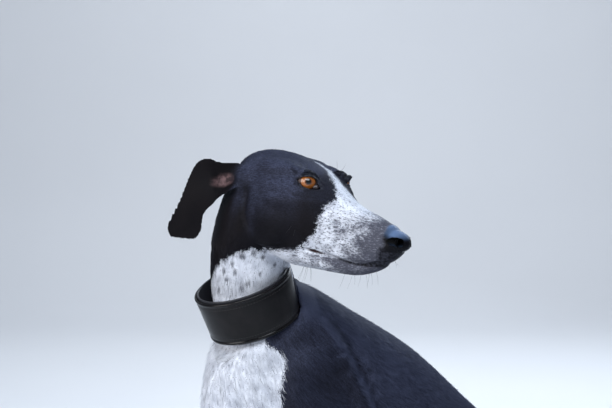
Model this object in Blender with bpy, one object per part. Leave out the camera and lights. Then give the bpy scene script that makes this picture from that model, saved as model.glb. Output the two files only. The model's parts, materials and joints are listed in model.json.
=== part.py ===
"""Sitting greyhound as a still, life-size model with a broad collar. Metres, +Z up, the body faces -Y,
its left is +X, and the head looks back over its left shoulder. The origin lies on the floor under the
middle."""
import math

import bmesh
import bpy
import numpy as np
from mathutils import Matrix, Vector

LEFT, RIGHT = 1.0, -1.0
CM = 0.01
GAP = 0.0003                       # between nodes that touch
FLOOR_CUT = 0.002                  # height of the flats under the feet, rump and tail, as drawn
BODY_FACES = 4200
HEAD_FACES = 3900
BODY_GRAIN = 0.0034              # finest detail kept where the forms of the body, skull and face are joined
SKULL_GRAIN = 0.0017
FACE_GRAIN = 0.00136
SHARP_ANGLE = 50.0
CAP_ROUND = 0.9                    # how far a form's end bulges, over its smallest radius

HEAD_AT = (0.122, -0.095, 0.677)   # midway between the eyes
HEAD_YAW = 5.0                     # degrees from +X towards +Y: the head looks back over the left shoulder
HEAD_PITCH = 5.0                   # nose below level
HEAD_ROLL = 3.0                    # left side of the head lower
NECK_CUT_AT = (0.018, -0.105, 0.628)
NECK_CUT_FACING = (0.69, 0.0, 0.72)
NOSE_CUT_AT = (0.0985, 0.0, -0.0330)     # top of the nose pad, in the head's axes
NOSE_CUT_FACING = (0.90, 0.0, 0.44)
NOSE_BOX = ((-0.03, -0.04, 0.0), (0.06, 0.04, 0.04))

COLLAR_AT = (0.002, -0.1145, 0.533)
COLLAR_LEAN = 22.0                 # degrees the collar's axis leans forward
COLLAR_HEIGHT = 0.054
COLLAR_LOW_RADIUS = 0.0545
COLLAR_HIGH_RADIUS = 0.0580
COLLAR_SIDES = 32
LEATHER_THICK = 0.0030
LINING_THICK = 0.0024
LINING_PROUD = 0.0020              # how far the lining stands above and below the leather
COLLAR_ROOM = 0.0085               # left free of flesh outside the leather, for the buckle
STRAP_THICK = 0.0024
STRAP_HEIGHT = 0.030
STRAP_FROM, STRAP_TO = 75.0, 140.0       # degrees round the collar; 90 is the nape
BUCKLE_ANGLE = 92.0
BUCKLE_BAR = 0.0019
BUCKLE_SIZE = (0.026, 0.042)
PRONG_RADIUS = 0.0013
CLAW_LENGTH = 0.0105
CLAW_RADIUS = 0.0026
CLAW_ROOT = 0.0030                 # how far a claw reaches into its toe

LOOKS = {
    "coat": ((0.018, 0.019, 0.023), 0.55, 0.0),
    "neck": ((0.62, 0.63, 0.65), 0.60, 0.0),
    "forepaw": ((0.62, 0.63, 0.65), 0.60, 0.0),
    "hind_paw": ((0.62, 0.63, 0.65), 0.60, 0.0),
    "foreleg": ((0.50, 0.51, 0.53), 0.60, 0.0),
    "tail_tip": ((0.62, 0.63, 0.65), 0.60, 0.0),
    "nose": ((0.012, 0.012, 0.014), 0.32, 0.0),
    "eye": ((0.16, 0.055, 0.015), 0.08, 0.0),
    "claw": ((0.035, 0.031, 0.028), 0.35, 0.0),
    "collar_leather": ((0.022, 0.017, 0.017), 0.38, 0.0),
    "collar_lining": ((0.030, 0.026, 0.028), 0.50, 0.0),
    "collar_strap_end": ((0.022, 0.017, 0.017), 0.38, 0.0),
    "collar_buckle": ((0.55, 0.55, 0.57), 0.25, 1.0),
    "collar_prong": ((0.55, 0.55, 0.57), 0.25, 1.0),
}


def catmull(rows, steps):
    """Rows of numbers along a smooth curve through the given rows."""
    rows = np.array(rows, float)
    padded = np.vstack([2 * rows[0] - rows[1], rows, 2 * rows[-1] - rows[-2]])
    out = []
    for i in range(1, len(padded) - 2):
        p0, p1, p2, p3 = padded[i - 1:i + 3]
        for t in np.arange(steps) / steps:
            out.append(0.5 * (2 * p1 + (p2 - p0) * t + (2 * p0 - 5 * p1 + 4 * p2 - p3) * t ** 2
                              + (3 * p1 - p0 - 3 * p2 + p3) * t ** 3))
    out.append(rows[-1])
    return np.array(out)


def unit(v):
    v = np.asarray(v, float)
    return v / np.maximum(np.linalg.norm(v, axis=-1, keepdims=True), 1e-12)


def ring_mesh(name, rings):
    """A closed mesh from rings of points, each end closed by a fan."""
    mesh = bpy.data.meshes.new(name)
    made = bmesh.new()
    sides = len(rings[0])
    loops = [[made.verts.new(p) for p in ring] for ring in rings]
    for low, high in zip(loops, loops[1:]):
        for i in range(sides):
            j = (i + 1) % sides
            made.faces.new((low[i], low[j], high[j], high[i]))
    for loop, turn in ((loops[0], -1), (loops[-1], 1)):
        tip = made.verts.new(np.mean([v.co[:] for v in loop], axis=0))
        for i in range(sides):
            pair = (loop[i], loop[(i + 1) % sides])
            made.faces.new((*pair[::turn], tip))
    bmesh.ops.triangulate(made, faces=made.faces, quad_method="FIXED")
    bmesh.ops.recalc_face_normals(made, faces=made.faces)
    made.to_mesh(mesh)
    made.free()
    piece = bpy.data.objects.new(name, mesh)
    bpy.context.scene.collection.objects.link(piece)
    return piece


def loft(name, rows, sides=28, steps=5, power=2.0, egg=None, cap_rings=3, square=True):
    """A body along a curve with rounded ends. A row is x, y, z, half-width, upper and lower half-depth,
    and the upward direction; egg says for each row how much narrower the lower half is; sections that are
    not square lie along the upward direction as given."""
    rows = np.array(rows, float)
    egg = np.zeros(len(rows)) if egg is None else np.array(egg, float)
    dense = catmull(np.column_stack([rows, egg]), steps)
    centres, radii, hints, eggs = dense[:, :3], dense[:, 3:6], dense[:, 6:9], dense[:, 9]
    along = unit(np.gradient(centres, axis=0))
    up = unit(hints - (np.sum(hints * along, axis=1, keepdims=True) * along if square else 0.0))
    side = unit(np.cross(along, up))
    turn = np.linspace(0, 2 * math.pi, sides, endpoint=False)
    c, s = np.cos(turn), np.sin(turn)
    c, s = np.sign(c) * np.abs(c) ** (2 / power), np.sign(s) * np.abs(s) ** (2 / power)

    def ring(i, shift=0.0, scale=1.0):
        wide, high, low = radii[i] * scale
        depth = np.where(s > 0, high, low) * s
        middle = centres[i] + along[i] * shift
        return middle + np.outer(c * wide * (1 + eggs[i] * s), side[i]) + np.outer(depth, up[i])

    last = len(centres) - 1
    angles = [math.radians(90 * (1 - (i + 0.6) / (cap_rings + 0.6))) for i in range(cap_rings)]
    first_reach, last_reach = radii[0].min() * CAP_ROUND, radii[last].min() * CAP_ROUND
    rings = [ring(0, -first_reach * math.sin(a), math.cos(a)) for a in angles]
    rings += [ring(i) for i in range(last + 1)]
    rings += [ring(last, last_reach * math.sin(a), math.cos(a)) for a in reversed(angles)]
    return ring_mesh(name, rings)


def blob(name, centre, radii, along=(0, 1, 0), up=(0, 0, 1), sides=20):
    """An ellipsoid with radii along, across and upwards."""
    a = unit(np.array(along, float))
    u = unit(np.array(up, float) - np.dot(up, a) * a)
    v = np.cross(a, u)
    rings = []
    for t in np.linspace(-0.92, 0.92, 13) * math.pi / 2:
        turn = np.linspace(0, 2 * math.pi, sides, endpoint=False)
        middle = np.array(centre) + a * radii[0] * math.sin(t)
        rings.append(middle + math.cos(t) * (np.outer(np.cos(turn) * radii[1], v)
                                            + np.outer(np.sin(turn) * radii[2], u)))
    return ring_mesh(name, rings)


def head_frame():
    """4 by 4 matrix from the head's own axes, nose +X, left +Y, crown +Z, to the body's."""
    yaw, pitch, roll = (math.radians(a) for a in (HEAD_YAW, HEAD_PITCH, HEAD_ROLL))
    turned = Matrix.Rotation(yaw, 4, "Z") @ Matrix.Rotation(pitch, 4, "Y") @ Matrix.Rotation(-roll, 4, "X")
    return Matrix.Translation(HEAD_AT) @ turned


def to_head(piece):
    """Moves a piece made in the head's axes to its place on the body."""
    piece.data.transform(head_frame())
    return piece


# Trunk: the back's point and the belly's point (y, z) of each section, its half-width, and how much
# narrower its lower half is.
TRUNK = (
    ((0.388, 0.080), (0.340, 0.058), 0.032, 0.0),
    ((0.396, 0.115), (0.300, 0.092), 0.048, 0.0),
    ((0.385, 0.183), (0.272, 0.145), 0.060, 0.0),
    ((0.357, 0.243), (0.250, 0.187), 0.063, 0.0),
    ((0.321, 0.298), (0.224, 0.217), 0.062, 0.0),
    ((0.276, 0.346), (0.187, 0.234), 0.066, 0.0),
    ((0.214, 0.395), (0.128, 0.244), 0.076, 0.0),
    ((0.165, 0.433), (0.066, 0.252), 0.086, 0.05),
    ((0.121, 0.465), (0.004, 0.260), 0.090, 0.10),
    ((0.070, 0.495), (-0.060, 0.276), 0.088, 0.14),
    ((0.025, 0.519), (-0.120, 0.310), 0.082, 0.18),
    ((-0.008, 0.538), (-0.159, 0.360), 0.074, 0.18),
    ((-0.032, 0.551), (-0.174, 0.410), 0.062, 0.15),
    ((-0.052, 0.560), (-0.165, 0.462), 0.048, 0.08),
    ((-0.065, 0.574), (-0.154, 0.512), 0.042, 0.03),
)
# Neck above the collar: centre, half-width, half-depth to the nape and to the throat, direction of the
# nape.
NECK = (
    (0.001, -0.113, 0.572, 0.047, 0.046, 0.046, -0.1, 1.0, 0.3),
    (0.005, -0.112, 0.602, 0.047, 0.049, 0.049, -0.5, 0.8, 0.2),
    (0.014, -0.110, 0.634, 0.046, 0.057, 0.057, -0.9, 0.4, 0.2),
    (0.034, -0.104, 0.660, 0.041, 0.060, 0.054, -1.0, 0.1, 0.5),
    (0.055, -0.102, 0.670, 0.028, 0.034, 0.034, -0.8, 0.0, 0.9),
)


def trunk(first=0):
    """Trunk and neck in one, from the given section on."""
    rows = []
    for (top_y, top_z), (low_y, low_z), half, _ in TRUNK[first:]:
        depth = math.hypot(top_y - low_y, top_z - low_z) / 2
        rows.append((0, (top_y + low_y) / 2, (top_z + low_z) / 2, half, depth, depth,
                     0, top_y - low_y, top_z - low_z))
    egg = [row[3] for row in TRUNK[first:]] + [0.0] * len(NECK)
    return loft("trunk", rows + list(NECK), sides=44, steps=6, power=2.1, egg=egg, square=False)


# Head sections: place along the nose's axis, top, bottom, half-width, height of the widest, all in
# centimetres from the point midway between the eyes, then how square the upper and the lower half are.
SKULL = (
    (-13.2, 0.1, -4.6, 2.0, -1.8, 2.0, 2.0),
    (-11.9, 2.05, -6.2, 3.6, -1.6, 2.0, 2.0),
    (-9.7, 2.75, -7.8, 4.35, -1.8, 2.0, 2.0),
    (-7.5, 2.82, -8.9, 4.65, -2.1, 2.0, 2.0),
    (-5.5, 2.62, -9.4, 4.75, -2.2, 2.0, 2.0),
    (-3.5, 2.12, -9.5, 4.7, -2.2, 2.0, 2.0),
    (-1.5, 1.48, -9.3, 4.35, -2.1, 2.0, 2.0),
    (0.0, 0.9, -8.8, 3.95, -2.5, 2.0, 2.0),
    (1.2, 0.12, -8.1, 3.4, -3.4, 2.1, 2.2),
    (2.6, -0.85, -7.7, 2.9, -4.5, 2.2, 2.4),
    (4.2, -1.6, -7.7, 2.5, -5.2, 2.2, 2.6),
    (6.0, -2.15, -7.75, 2.2, -5.6, 2.2, 2.6),
    (8.0, -2.62, -7.75, 2.0, -5.8, 2.2, 2.6),
    (9.6, -3.2, -7.5, 1.8, -5.7, 2.2, 2.5),
    (10.7, -3.65, -6.8, 1.55, -5.4, 2.1, 2.3),
    (11.4, -4.4, -6.2, 1.15, -5.2, 2.0, 2.0),
)
JAW = (
    (-6.0, -6.0, -9.3, 3.0, -7.2, 2.0, 2.0),
    (-4.0, -6.2, -9.8, 2.9, -7.6, 2.0, 2.0),
    (-1.5, -6.6, -9.8, 2.5, -7.9, 2.0, 2.0),
    (1.0, -6.9, -9.7, 2.2, -8.1, 2.0, 2.0),
    (3.5, -7.0, -9.6, 1.9, -8.2, 2.0, 2.2),
    (5.5, -7.0, -9.45, 1.7, -8.2, 2.0, 2.2),
    (7.2, -7.0, -9.0, 1.5, -8.0, 2.0, 2.2),
    (8.6, -7.1, -8.4, 1.25, -7.8, 2.0, 2.0),
    (9.5, -7.2, -7.9, 0.8, -7.5, 2.0, 2.0),
)


def section_loft(name, table, sides=36, steps=5):
    """A loft along the head's axis, whose sections are wider at a named height."""
    rings = []
    turn = np.linspace(0, 2 * math.pi, sides, endpoint=False)
    for x, top, low, half, wide, n_top, n_low in catmull(table, steps):
        n = np.where(np.sin(turn) > 0, n_top, n_low)
        c = np.sign(np.cos(turn)) * np.abs(np.cos(turn)) ** (2 / n)
        s = np.sign(np.sin(turn)) * np.abs(np.sin(turn)) ** (2 / n)
        z = wide + np.where(s > 0, top - wide, wide - low) * s
        rings.append(CM * np.column_stack([np.full(sides, x), half * c, z]))
    return ring_mesh(name, rings)


NOSE_TIP = (10.95, 0.0, -4.80)
EYE_AT = (-0.95, 2.48, 0.02)        # middle of the eyeball, on the left, in centimetres in the head's axes
EYE_GAZE = (0.76, 0.65, 0.06)
EYE_RADIUS = 0.0118
EYE_SIDES = 16
EYE_RINGS = 10
CORNEA_RISE = 0.0009
CORNEA_RADIUS = 0.0066
LID_RADIUS = 0.0130
# Outline of the eye's opening: towards the inner corner and upwards, in centimetres across the line of
# sight.
EYE_OPENING = ((-1.12, 0.06), (-0.86, 0.44), (-0.42, 0.74), (0.12, 0.84), (0.60, 0.66), (0.92, 0.26),
               (1.12, -0.22), (1.34, -0.56), (1.02, -0.66), (0.52, -0.70), (-0.02, -0.62), (-0.56, -0.42))


def side_point(x, y, z, side):
    """A point in the head's axes on that side."""
    return (x * CM, side * y * CM, z * CM)


def eye_axes(side):
    """Middle of the eyeball, line of sight, way to the inner corner and upwards, in the head's axes."""
    at = np.array(side_point(*EYE_AT, side))
    gaze = unit(np.array(EYE_GAZE) * (1, side, 1))
    inner = unit(np.array((1.0, 0.0, 0.0)) - gaze[0] * gaze)
    up = np.array((0.0, 0.0, 1.0)) - gaze[2] * gaze
    return at, gaze, inner, unit(up - np.dot(up, inner) * inner)


def skull_forms():
    """Skull, muzzle and lower jaw, with the cheek muscles and ear roots."""
    forms = [section_loft("skull", SKULL), section_loft("jaw", JAW)]
    for side in (LEFT, RIGHT):
        forms += [
            blob("temple", side_point(-6.2, 2.2, 0.55, side), (0.046, 0.020, 0.017), (1, 0, 0.02)),
            blob("cheek", side_point(-5.4, 3.5, -4.3, side), (0.040, 0.0145, 0.038), (1, 0, 0.15)),
            blob("cheekbone", side_point(-1.4, 3.45, -2.3, side), (0.042, 0.010, 0.012),
                 (1, -side * 0.32, 0.05)),
            blob("ear root", side_point(-9.2, 3.35, -1.2, side), (0.026, 0.0135, 0.024), (1, 0, 0)),
        ]
    return [to_head(form) for form in forms]


def face_forms():
    """Nose, lips, brows and lids, set on the smoothed skull."""
    forms = [
        blob("nose", side_point(*NOSE_TIP, LEFT), (0.0146, 0.0138, 0.0108), (1, 0, -0.42)),
        blob("nose root", side_point(9.75, 0.0, -4.05, LEFT), (0.0130, 0.0120, 0.0085), (1, 0, -0.52)),
        blob("upper lip", side_point(9.2, 0.0, -6.35, LEFT), (0.0135, 0.0150, 0.0090), (1, 0, -0.10)),
        blob("chin", side_point(8.0, 0.0, -7.95, LEFT), (0.0130, 0.0120, 0.0055), (1, 0, 0.25)),
    ]
    for side in (LEFT, RIGHT):
        at, gaze, inner, up = eye_axes(side)
        forms += [
            blob("nostril wing", side_point(10.9, 0.78, -4.85, side), (0.0108, 0.0080, 0.0086),
                 (1, side * 0.2, -0.3)),
            blob("lip", side_point(5.5, 1.45, -6.8, side), (0.044, 0.0072, 0.0100), (1, -side * 0.08, 0.0)),
            blob("lids", at, (LID_RADIUS, LID_RADIUS, LID_RADIUS), tuple(gaze), tuple(up)),
            blob("brow", side_point(-1.5, 2.45, 0.85, side), (0.020, 0.0095, 0.0058),
                 (1, -side * 0.25, -0.36)),
        ]
        fold = []
        for turn, reach in ((200, 1.46), (165, 1.56), (130, 1.62), (95, 1.60), (60, 1.54), (30, 1.44)):
            c, s = math.cos(math.radians(turn)), math.sin(math.radians(turn))
            p = at + CM * reach * (c * inner * 0.95 + s * up * 0.72) + gaze * 0.0046
            fold.append((*p, 0.0017, 0.0017, 0.0017, *gaze))
        forms.append(loft("lid fold", fold, sides=10, steps=3))
    return [to_head(form) for form in forms]


def eyeball(name, side, grow=0.0):
    """The eye as a body turned about its line of sight, the cornea standing a little proud."""
    at, gaze, inner, up = eye_axes(side)
    turn = np.linspace(0, 2 * math.pi, EYE_SIDES, endpoint=False)
    rings = []
    for angle in np.linspace(7, 173, EYE_RINGS):
        c, s = math.cos(math.radians(angle)), math.sin(math.radians(angle))
        wide, deep = (EYE_RADIUS + grow) * s, (EYE_RADIUS + grow) * c
        if c > 0 and wide < CORNEA_RADIUS:
            deep += CORNEA_RISE * (1 - (wide / CORNEA_RADIUS) ** 2)
        rings.append(at + gaze * deep + wide * (np.outer(np.cos(turn), inner) + np.outer(np.sin(turn), up)))
    return to_head(ring_mesh(name, rings))


def opening_cutter(side):
    """The almond gap between the lids as a short prism through them."""
    at, gaze, inner, up = eye_axes(side)
    outline = catmull(EYE_OPENING + EYE_OPENING[:1], 3)[:-1] * CM
    rings = []
    for depth, scale in ((0.0015, 0.93), (0.0080, 0.98), (0.0200, 1.08)):
        flat = np.outer(outline[:, 0], inner) + np.outer(outline[:, 1], up)
        rings.append(at + gaze * depth + scale * flat)
    return to_head(ring_mesh("eye opening", rings))


# Line of the mouth on the left, in centimetres in the head's axes.
MOUTH = ((0.1, 2.45, -7.35), (1.1, 2.20, -7.48), (2.2, 2.00, -7.56), (3.6, 1.90, -7.65), (5.2, 1.78, -7.90),
         (6.6, 1.70, -7.95), (8.0, 1.45, -7.80), (9.1, 1.00, -7.55), (9.8, 0.45, -7.35), (9.95, 0.0, -7.30))
MOUTH_GAP = 0.00045
MOUTH_DEPTH = 0.0048


def mouth_cutter():
    """The closed mouth as one thin groove from corner to corner."""
    half = []
    for p in MOUTH:
        outwards = unit(np.array((0.35 * max(0, p[0] - 8), p[1], 0.0)))
        half.append((*np.array(p) * CM, MOUTH_GAP, MOUTH_DEPTH, MOUTH_DEPTH, *outwards))
    other = [(r[0], -r[1], *r[2:6], r[6], -r[7], r[8]) for r in reversed(half[:-1])]
    return to_head(loft("mouth", half + other, sides=6, steps=2, cap_rings=1))


def nostril_cutter(side):
    rows = [(*side_point(*p, side), w, h, h, 0, 0, 1) for p, w, h in (
        ((10.9, 0.50, -4.95), 0.0026, 0.0028), ((11.8, 0.85, -4.80), 0.0038, 0.0040),
        ((11.65, 1.22, -4.76), 0.0038, 0.0040), ((11.10, 1.52, -4.78), 0.0027, 0.0028),
        ((10.4, 1.72, -4.72), 0.0012, 0.0013))]
    return to_head(loft("nostril", rows, sides=10, steps=2, cap_rings=1))


# Ear on the left from its root to its tip: upper edge, lower edge, cup depth and thickness, in
# centimetres in the head's axes.
EAR = (
    ((-9.2, 3.6, 0.2), (-9.4, 3.9, -1.6), 0.25, 0.34),
    ((-10.2, 4.3, 1.0), (-9.8, 4.9, -1.9), 0.75, 0.32),
    ((-11.4, 4.9, 0.85), (-10.5, 5.5, -2.5), 1.15, 0.30),
    ((-12.5, 5.5, 0.85), (-11.3, 6.0, -3.3), 1.20, 0.28),
    ((-13.5, 6.2, 1.1), (-11.4, 6.6, -4.0), 0.95, 0.26),
    ((-14.8, 6.8, 0.3), (-11.8, 7.0, -4.6), 0.65, 0.25),
    ((-15.6, 7.2, -1.9), (-12.0, 7.3, -5.2), 0.45, 0.24),
    ((-16.3, 7.4, -4.1), (-11.9, 7.5, -5.8), 0.35, 0.23),
    ((-17.3, 7.5, -6.0), (-11.8, 7.6, -6.5), 0.25, 0.22),
    ((-18.0, 7.5, -7.6), (-12.0, 7.6, -7.4), 0.15, 0.21),
    ((-17.4, 7.5, -8.6), (-12.9, 7.5, -8.2), 0.05, 0.18),
)
EAR_OPEN = (0.55, 0.82, 0.10)       # the way the cup of the left ear opens


def ear(name, side, grow=0.0, sides=14, steps=2):
    """The ear as a cupped sheet of skin and gristle."""
    rows = catmull([(*a, *b, cup, thick) for a, b, cup, thick in EAR], steps) * CM
    opened = unit(np.array(EAR_OPEN)) * (1, side, 1)
    turn = np.linspace(0, 2 * math.pi, sides, endpoint=False)
    rings = []
    for row in rows:
        high, low = row[:3] * (1, side, 1), row[3:6] * (1, side, 1)
        across = unit(high - low)
        face = unit(opened - np.dot(opened, across) * across)
        half = np.linalg.norm(high - low) / 2 + grow
        s = np.cos(turn)
        lift = np.sign(np.sin(turn)) * np.abs(np.sin(turn)) ** 0.6 * (row[7] / 2 + grow)
        rings.append((high + low) / 2 + np.outer(s * half, across)
                     + np.outer(lift - row[6] * (1 - s * s), face))
    first, last = rings[0], rings[-1]
    rings[0] = first - unit(np.mean(rings[1], axis=0) - np.mean(first, axis=0)) * grow * 2
    rings[-1] = last.mean(axis=0) + (last - last.mean(axis=0)) * 0.9
    return to_head(ring_mesh(name, rings))


# Legs on the left side: rows of x, y, z, half-width, half-depth front and back, and the direction of the
# front.
SHOULDER = (
    (0.036, 0.030, 0.478, 0.016, 0.026, 0.030, 0, -0.45, 1),
    (0.050, 0.000, 0.466, 0.020, 0.036, 0.042, 0, -0.45, 1),
    (0.058, -0.040, 0.458, 0.023, 0.042, 0.048, 0, -0.45, 1),
    (0.060, -0.078, 0.448, 0.024, 0.040, 0.042, 0, -0.45, 1),
    (0.056, -0.105, 0.438, 0.020, 0.028, 0.028, 0, -0.5, 1),
)
UPPER_ARM = (
    (0.056, -0.100, 0.440, 0.024, 0.026, 0.030, 0, -1, 0.3),
    (0.066, -0.080, 0.412, 0.027, 0.032, 0.044, 0, -1, 0.3),
    (0.072, -0.050, 0.375, 0.028, 0.034, 0.044, 0, -1, 0.3),
    (0.072, -0.026, 0.342, 0.026, 0.029, 0.034, 0, -1, 0.2),
    (0.070, -0.018, 0.310, 0.023, 0.026, 0.028, 0, -1, 0.0),
)
TRICEPS = (
    (0.056, 0.014, 0.460, 0.018, 0.026, 0.022, 0, -1, 0),
    (0.068, 0.002, 0.425, 0.023, 0.034, 0.028, 0, -1, 0),
    (0.075, 0.000, 0.385, 0.023, 0.034, 0.028, 0, -1, 0),
    (0.075, 0.000, 0.348, 0.018, 0.026, 0.022, 0, -1, 0),
    (0.072, 0.006, 0.326, 0.012, 0.018, 0.014, 0, -1, 0),
)
FOREARM = (
    (0.071, -0.014, 0.330, 0.025, 0.028, 0.030, 0, -1, 0),
    (0.069, -0.017, 0.295, 0.023, 0.027, 0.028, 0, -1, 0),
    (0.067, -0.021, 0.250, 0.019, 0.024, 0.023, 0, -1, 0),
    (0.065, -0.025, 0.190, 0.0145, 0.017, 0.016, 0, -1, 0),
    (0.064, -0.029, 0.140, 0.0145, 0.015, 0.015, 0, -1, 0),
    (0.064, -0.032, 0.112, 0.0170, 0.016, 0.019, 0, -1, 0),
    (0.065, -0.036, 0.080, 0.0160, 0.013, 0.015, 0, -1, 0),
    (0.066, -0.045, 0.050, 0.0190, 0.014, 0.016, 0, -1, 0.2),
    (0.067, -0.058, 0.030, 0.0200, 0.014, 0.020, 0, -1, 0.9),
)
THIGH = (
    (0.030, 0.372, 0.150, 0.030, 0.080, 0.075, 0, 0.25, 1),
    (0.058, 0.335, 0.165, 0.043, 0.092, 0.100, 0, 0.2, 1),
    (0.078, 0.280, 0.175, 0.040, 0.088, 0.098, 0, 0.1, 1),
    (0.090, 0.220, 0.188, 0.035, 0.068, 0.080, 0, 0.0, 1),
    (0.097, 0.165, 0.198, 0.030, 0.045, 0.052, 0, -0.2, 1),
    (0.098, 0.130, 0.196, 0.022, 0.026, 0.030, 0, -0.4, 1),
)
SHANK = (
    (0.098, 0.142, 0.190, 0.024, 0.030, 0.034, 0, -1, 0.3),
    (0.101, 0.168, 0.158, 0.026, 0.030, 0.038, 0, -1, -0.6),
    (0.101, 0.212, 0.122, 0.023, 0.027, 0.040, 0, -0.7, -1),
    (0.096, 0.262, 0.088, 0.017, 0.022, 0.030, 0, -0.5, -1),
    (0.090, 0.312, 0.060, 0.0135, 0.017, 0.018, 0, -0.5, -1),
    (0.087, 0.340, 0.043, 0.0140, 0.018, 0.016, 0, -0.4, -1),
)
HIND_FOOT = (
    (0.086, 0.362, 0.034, 0.0120, 0.013, 0.015, 0, 0.3, 1),
    (0.086, 0.345, 0.029, 0.0150, 0.022, 0.026, 0, 0, 1),
    (0.087, 0.300, 0.020, 0.0150, 0.017, 0.020, 0, 0, 1),
    (0.088, 0.240, 0.019, 0.0150, 0.015, 0.019, 0, 0, 1),
    (0.089, 0.195, 0.021, 0.0180, 0.016, 0.021, 0, 0, 1),
    (0.090, 0.165, 0.022, 0.0200, 0.016, 0.020, 0, 0, 1),
)
TOES = ((-0.0200, 0.012, 0.88), (-0.0070, 0.0, 1.0), (0.0070, 0.0, 1.0), (0.0200, 0.012, 0.88))
FORE_TOES_AT = (0.067, -0.060)
HIND_TOES_AT = (0.090, 0.160)
TOE_LENGTH = 0.052
TOE_RADIUS = 0.0088
TAIL = (
    (0.000, 0.370, 0.100, 0.019, 0.019, 0.019, 0, 0, 1),
    (0.000, 0.398, 0.070, 0.016, 0.016, 0.016, 0, 1, 1),
    (0.000, 0.420, 0.038, 0.0145, 0.0145, 0.0145, 0, 1, 1),
    (0.004, 0.450, 0.0165, 0.0135, 0.0135, 0.0140, 0, 0.3, 1),
    (0.022, 0.490, 0.0125, 0.0125, 0.0125, 0.0130, 0, 0, 1),
    (0.060, 0.520, 0.0115, 0.0115, 0.0115, 0.0120, 0, 0, 1),
    (0.110, 0.530, 0.0105, 0.0105, 0.0105, 0.0110, 0, 0, 1),
    (0.160, 0.515, 0.0090, 0.0090, 0.0090, 0.0095, 0, 0, 1),
    (0.200, 0.480, 0.0078, 0.0078, 0.0078, 0.0083, 0, 0, 1),
    (0.222, 0.440, 0.0062, 0.0062, 0.0062, 0.0067, 0, 0, 1),
    (0.232, 0.405, 0.0040, 0.0040, 0.0040, 0.0045, 0, 0, 1),
)


def mirrored(rows, side):
    """Leg rows on that side of the body."""
    return [(side * r[0], *r[1:6], side * r[6], *r[7:]) for r in rows]


def toe_rows(at, offset, back, size):
    """One arched toe: it starts behind the knuckle and comes down on its pad."""
    x, y = at[0] + offset, at[1] + back
    spread = offset * 0.25
    r = TOE_RADIUS
    return [
        (x - spread, y + 0.010, 0.030, r * 0.9, r, r, 0, 0, 1),
        (x, y - 0.010 * size, 0.031, r, r, r * 1.1, 0, 0, 1),
        (x + spread * 0.5, y - 0.028 * size, 0.024, r, r, r * 1.2, 0, -0.3, 1),
        (x + spread * 0.8, y - 0.042 * size, 0.0125, r, r * 0.9, r * 1.3, 0, -0.5, 1),
        (x + spread, y - TOE_LENGTH * size, 0.0095, r * 0.72, r * 0.6, r * 0.9, 0, -0.6, 1),
    ]


def leg_forms(side):
    forms = [loft(name, mirrored(rows, side)) for name, rows in (
        ("shoulder", SHOULDER), ("upper arm", UPPER_ARM), ("triceps", TRICEPS), ("forearm", FOREARM),
        ("thigh", THIGH), ("shank", SHANK), ("hind foot", HIND_FOOT))]
    for at in (FORE_TOES_AT, HIND_TOES_AT):
        for offset, back, size in TOES:
            forms.append(loft("toe", mirrored(toe_rows(at, offset, back, size), side), sides=14, steps=4))
        forms.append(blob("pad", (side * at[0], at[1] + 0.002, 0.012), (0.017, 0.018, 0.0125)))
    forms.append(blob("heel pad", (side * 0.064, -0.014, 0.100), (0.006, 0.007, 0.008)))
    forms.append(blob("dew toe", (side * 0.0515, -0.038, 0.086), (0.008, 0.0058, 0.010)))
    forms.append(blob("buttock", (side * 0.030, 0.345, 0.052), (0.046, 0.034, 0.054)))
    return forms


def body_forms():
    forms = [trunk(), loft("tail", TAIL, sides=20)]
    for side in (LEFT, RIGHT):
        forms += leg_forms(side)
    return forms


def step(low, high, value):
    """0 below low, 1 above high, smooth between."""
    t = np.clip((value - low) / (high - low), 0, 1)
    return t * t * (3 - 2 * t)


def points_of(mesh):
    co = np.empty(len(mesh.vertices) * 3)
    mesh.vertices.foreach_get("co", co)
    return co.reshape(-1, 3)


def fuse(name, forms, voxel, passes, amount=None):
    """Joins overlapping closed forms into one surface and smooths it, by the amount for each point."""
    bpy.context.view_layer.update()
    made = bmesh.new()
    for form in forms:
        made.from_mesh(form.data)
    for form in forms:
        bpy.data.objects.remove(form)
    mesh = bpy.data.meshes.new(name)
    made.to_mesh(mesh)
    made.free()
    body = bpy.data.objects.new(name, mesh)
    bpy.context.scene.collection.objects.link(body)
    remesh = body.modifiers.new("Fuse", "REMESH")
    remesh.mode = "VOXEL"
    remesh.voxel_size = voxel
    apply_all(body)
    if amount is not None:
        share = np.round(amount(points_of(body.data)) * 20).astype(int)
        group = body.vertex_groups.new(name="smoothing")
        for level in range(1, 21):
            found = np.nonzero(share == level)[0].tolist()
            if found:
                group.add(found, level / 20, "REPLACE")
    for count, masked in passes:
        smooth = body.modifiers.new("Smooth", "SMOOTH")
        smooth.factor = 0.5
        smooth.iterations = count
        if masked:
            smooth.vertex_group = "smoothing"
    apply_all(body)
    body.vertex_groups.clear()
    return body


def apply_all(piece):
    """Puts the result of the modifiers in place of the mesh."""
    graph = bpy.context.evaluated_depsgraph_get()
    graph.update()
    mesh = bpy.data.meshes.new_from_object(piece.evaluated_get(graph))
    piece.modifiers.clear()
    piece.data = mesh
    return piece


def body_smoothing(p):
    """Trunk and thighs are smoothed fully, the lower legs, feet and tail hardly."""
    fore = step(0.30, 0.37, p[:, 2])
    low_tail = step(0.30, 0.32, p[:, 1]) * step(0.075, 0.060, np.abs(p[:, 0]))
    hind = np.maximum(step(0.08, 0.15, p[:, 2]), low_tail)
    tail = step(0.392, 0.400, p[:, 1]) * step(0.10, 0.08, p[:, 2])
    return np.where(p[:, 1] < 0.06, fore, hind) * (1 - tail)


def body_flesh():
    return fuse("body", body_forms(), BODY_GRAIN, ((38, True), (4, False)), body_smoothing)


def head_flesh():
    """Head and upper neck."""
    skull = fuse("skull", [trunk(first=11)] + skull_forms(), SKULL_GRAIN, ((30, False),))
    return fuse("head", [skull] + face_forms(), FACE_GRAIN, ((6, False),))


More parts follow.
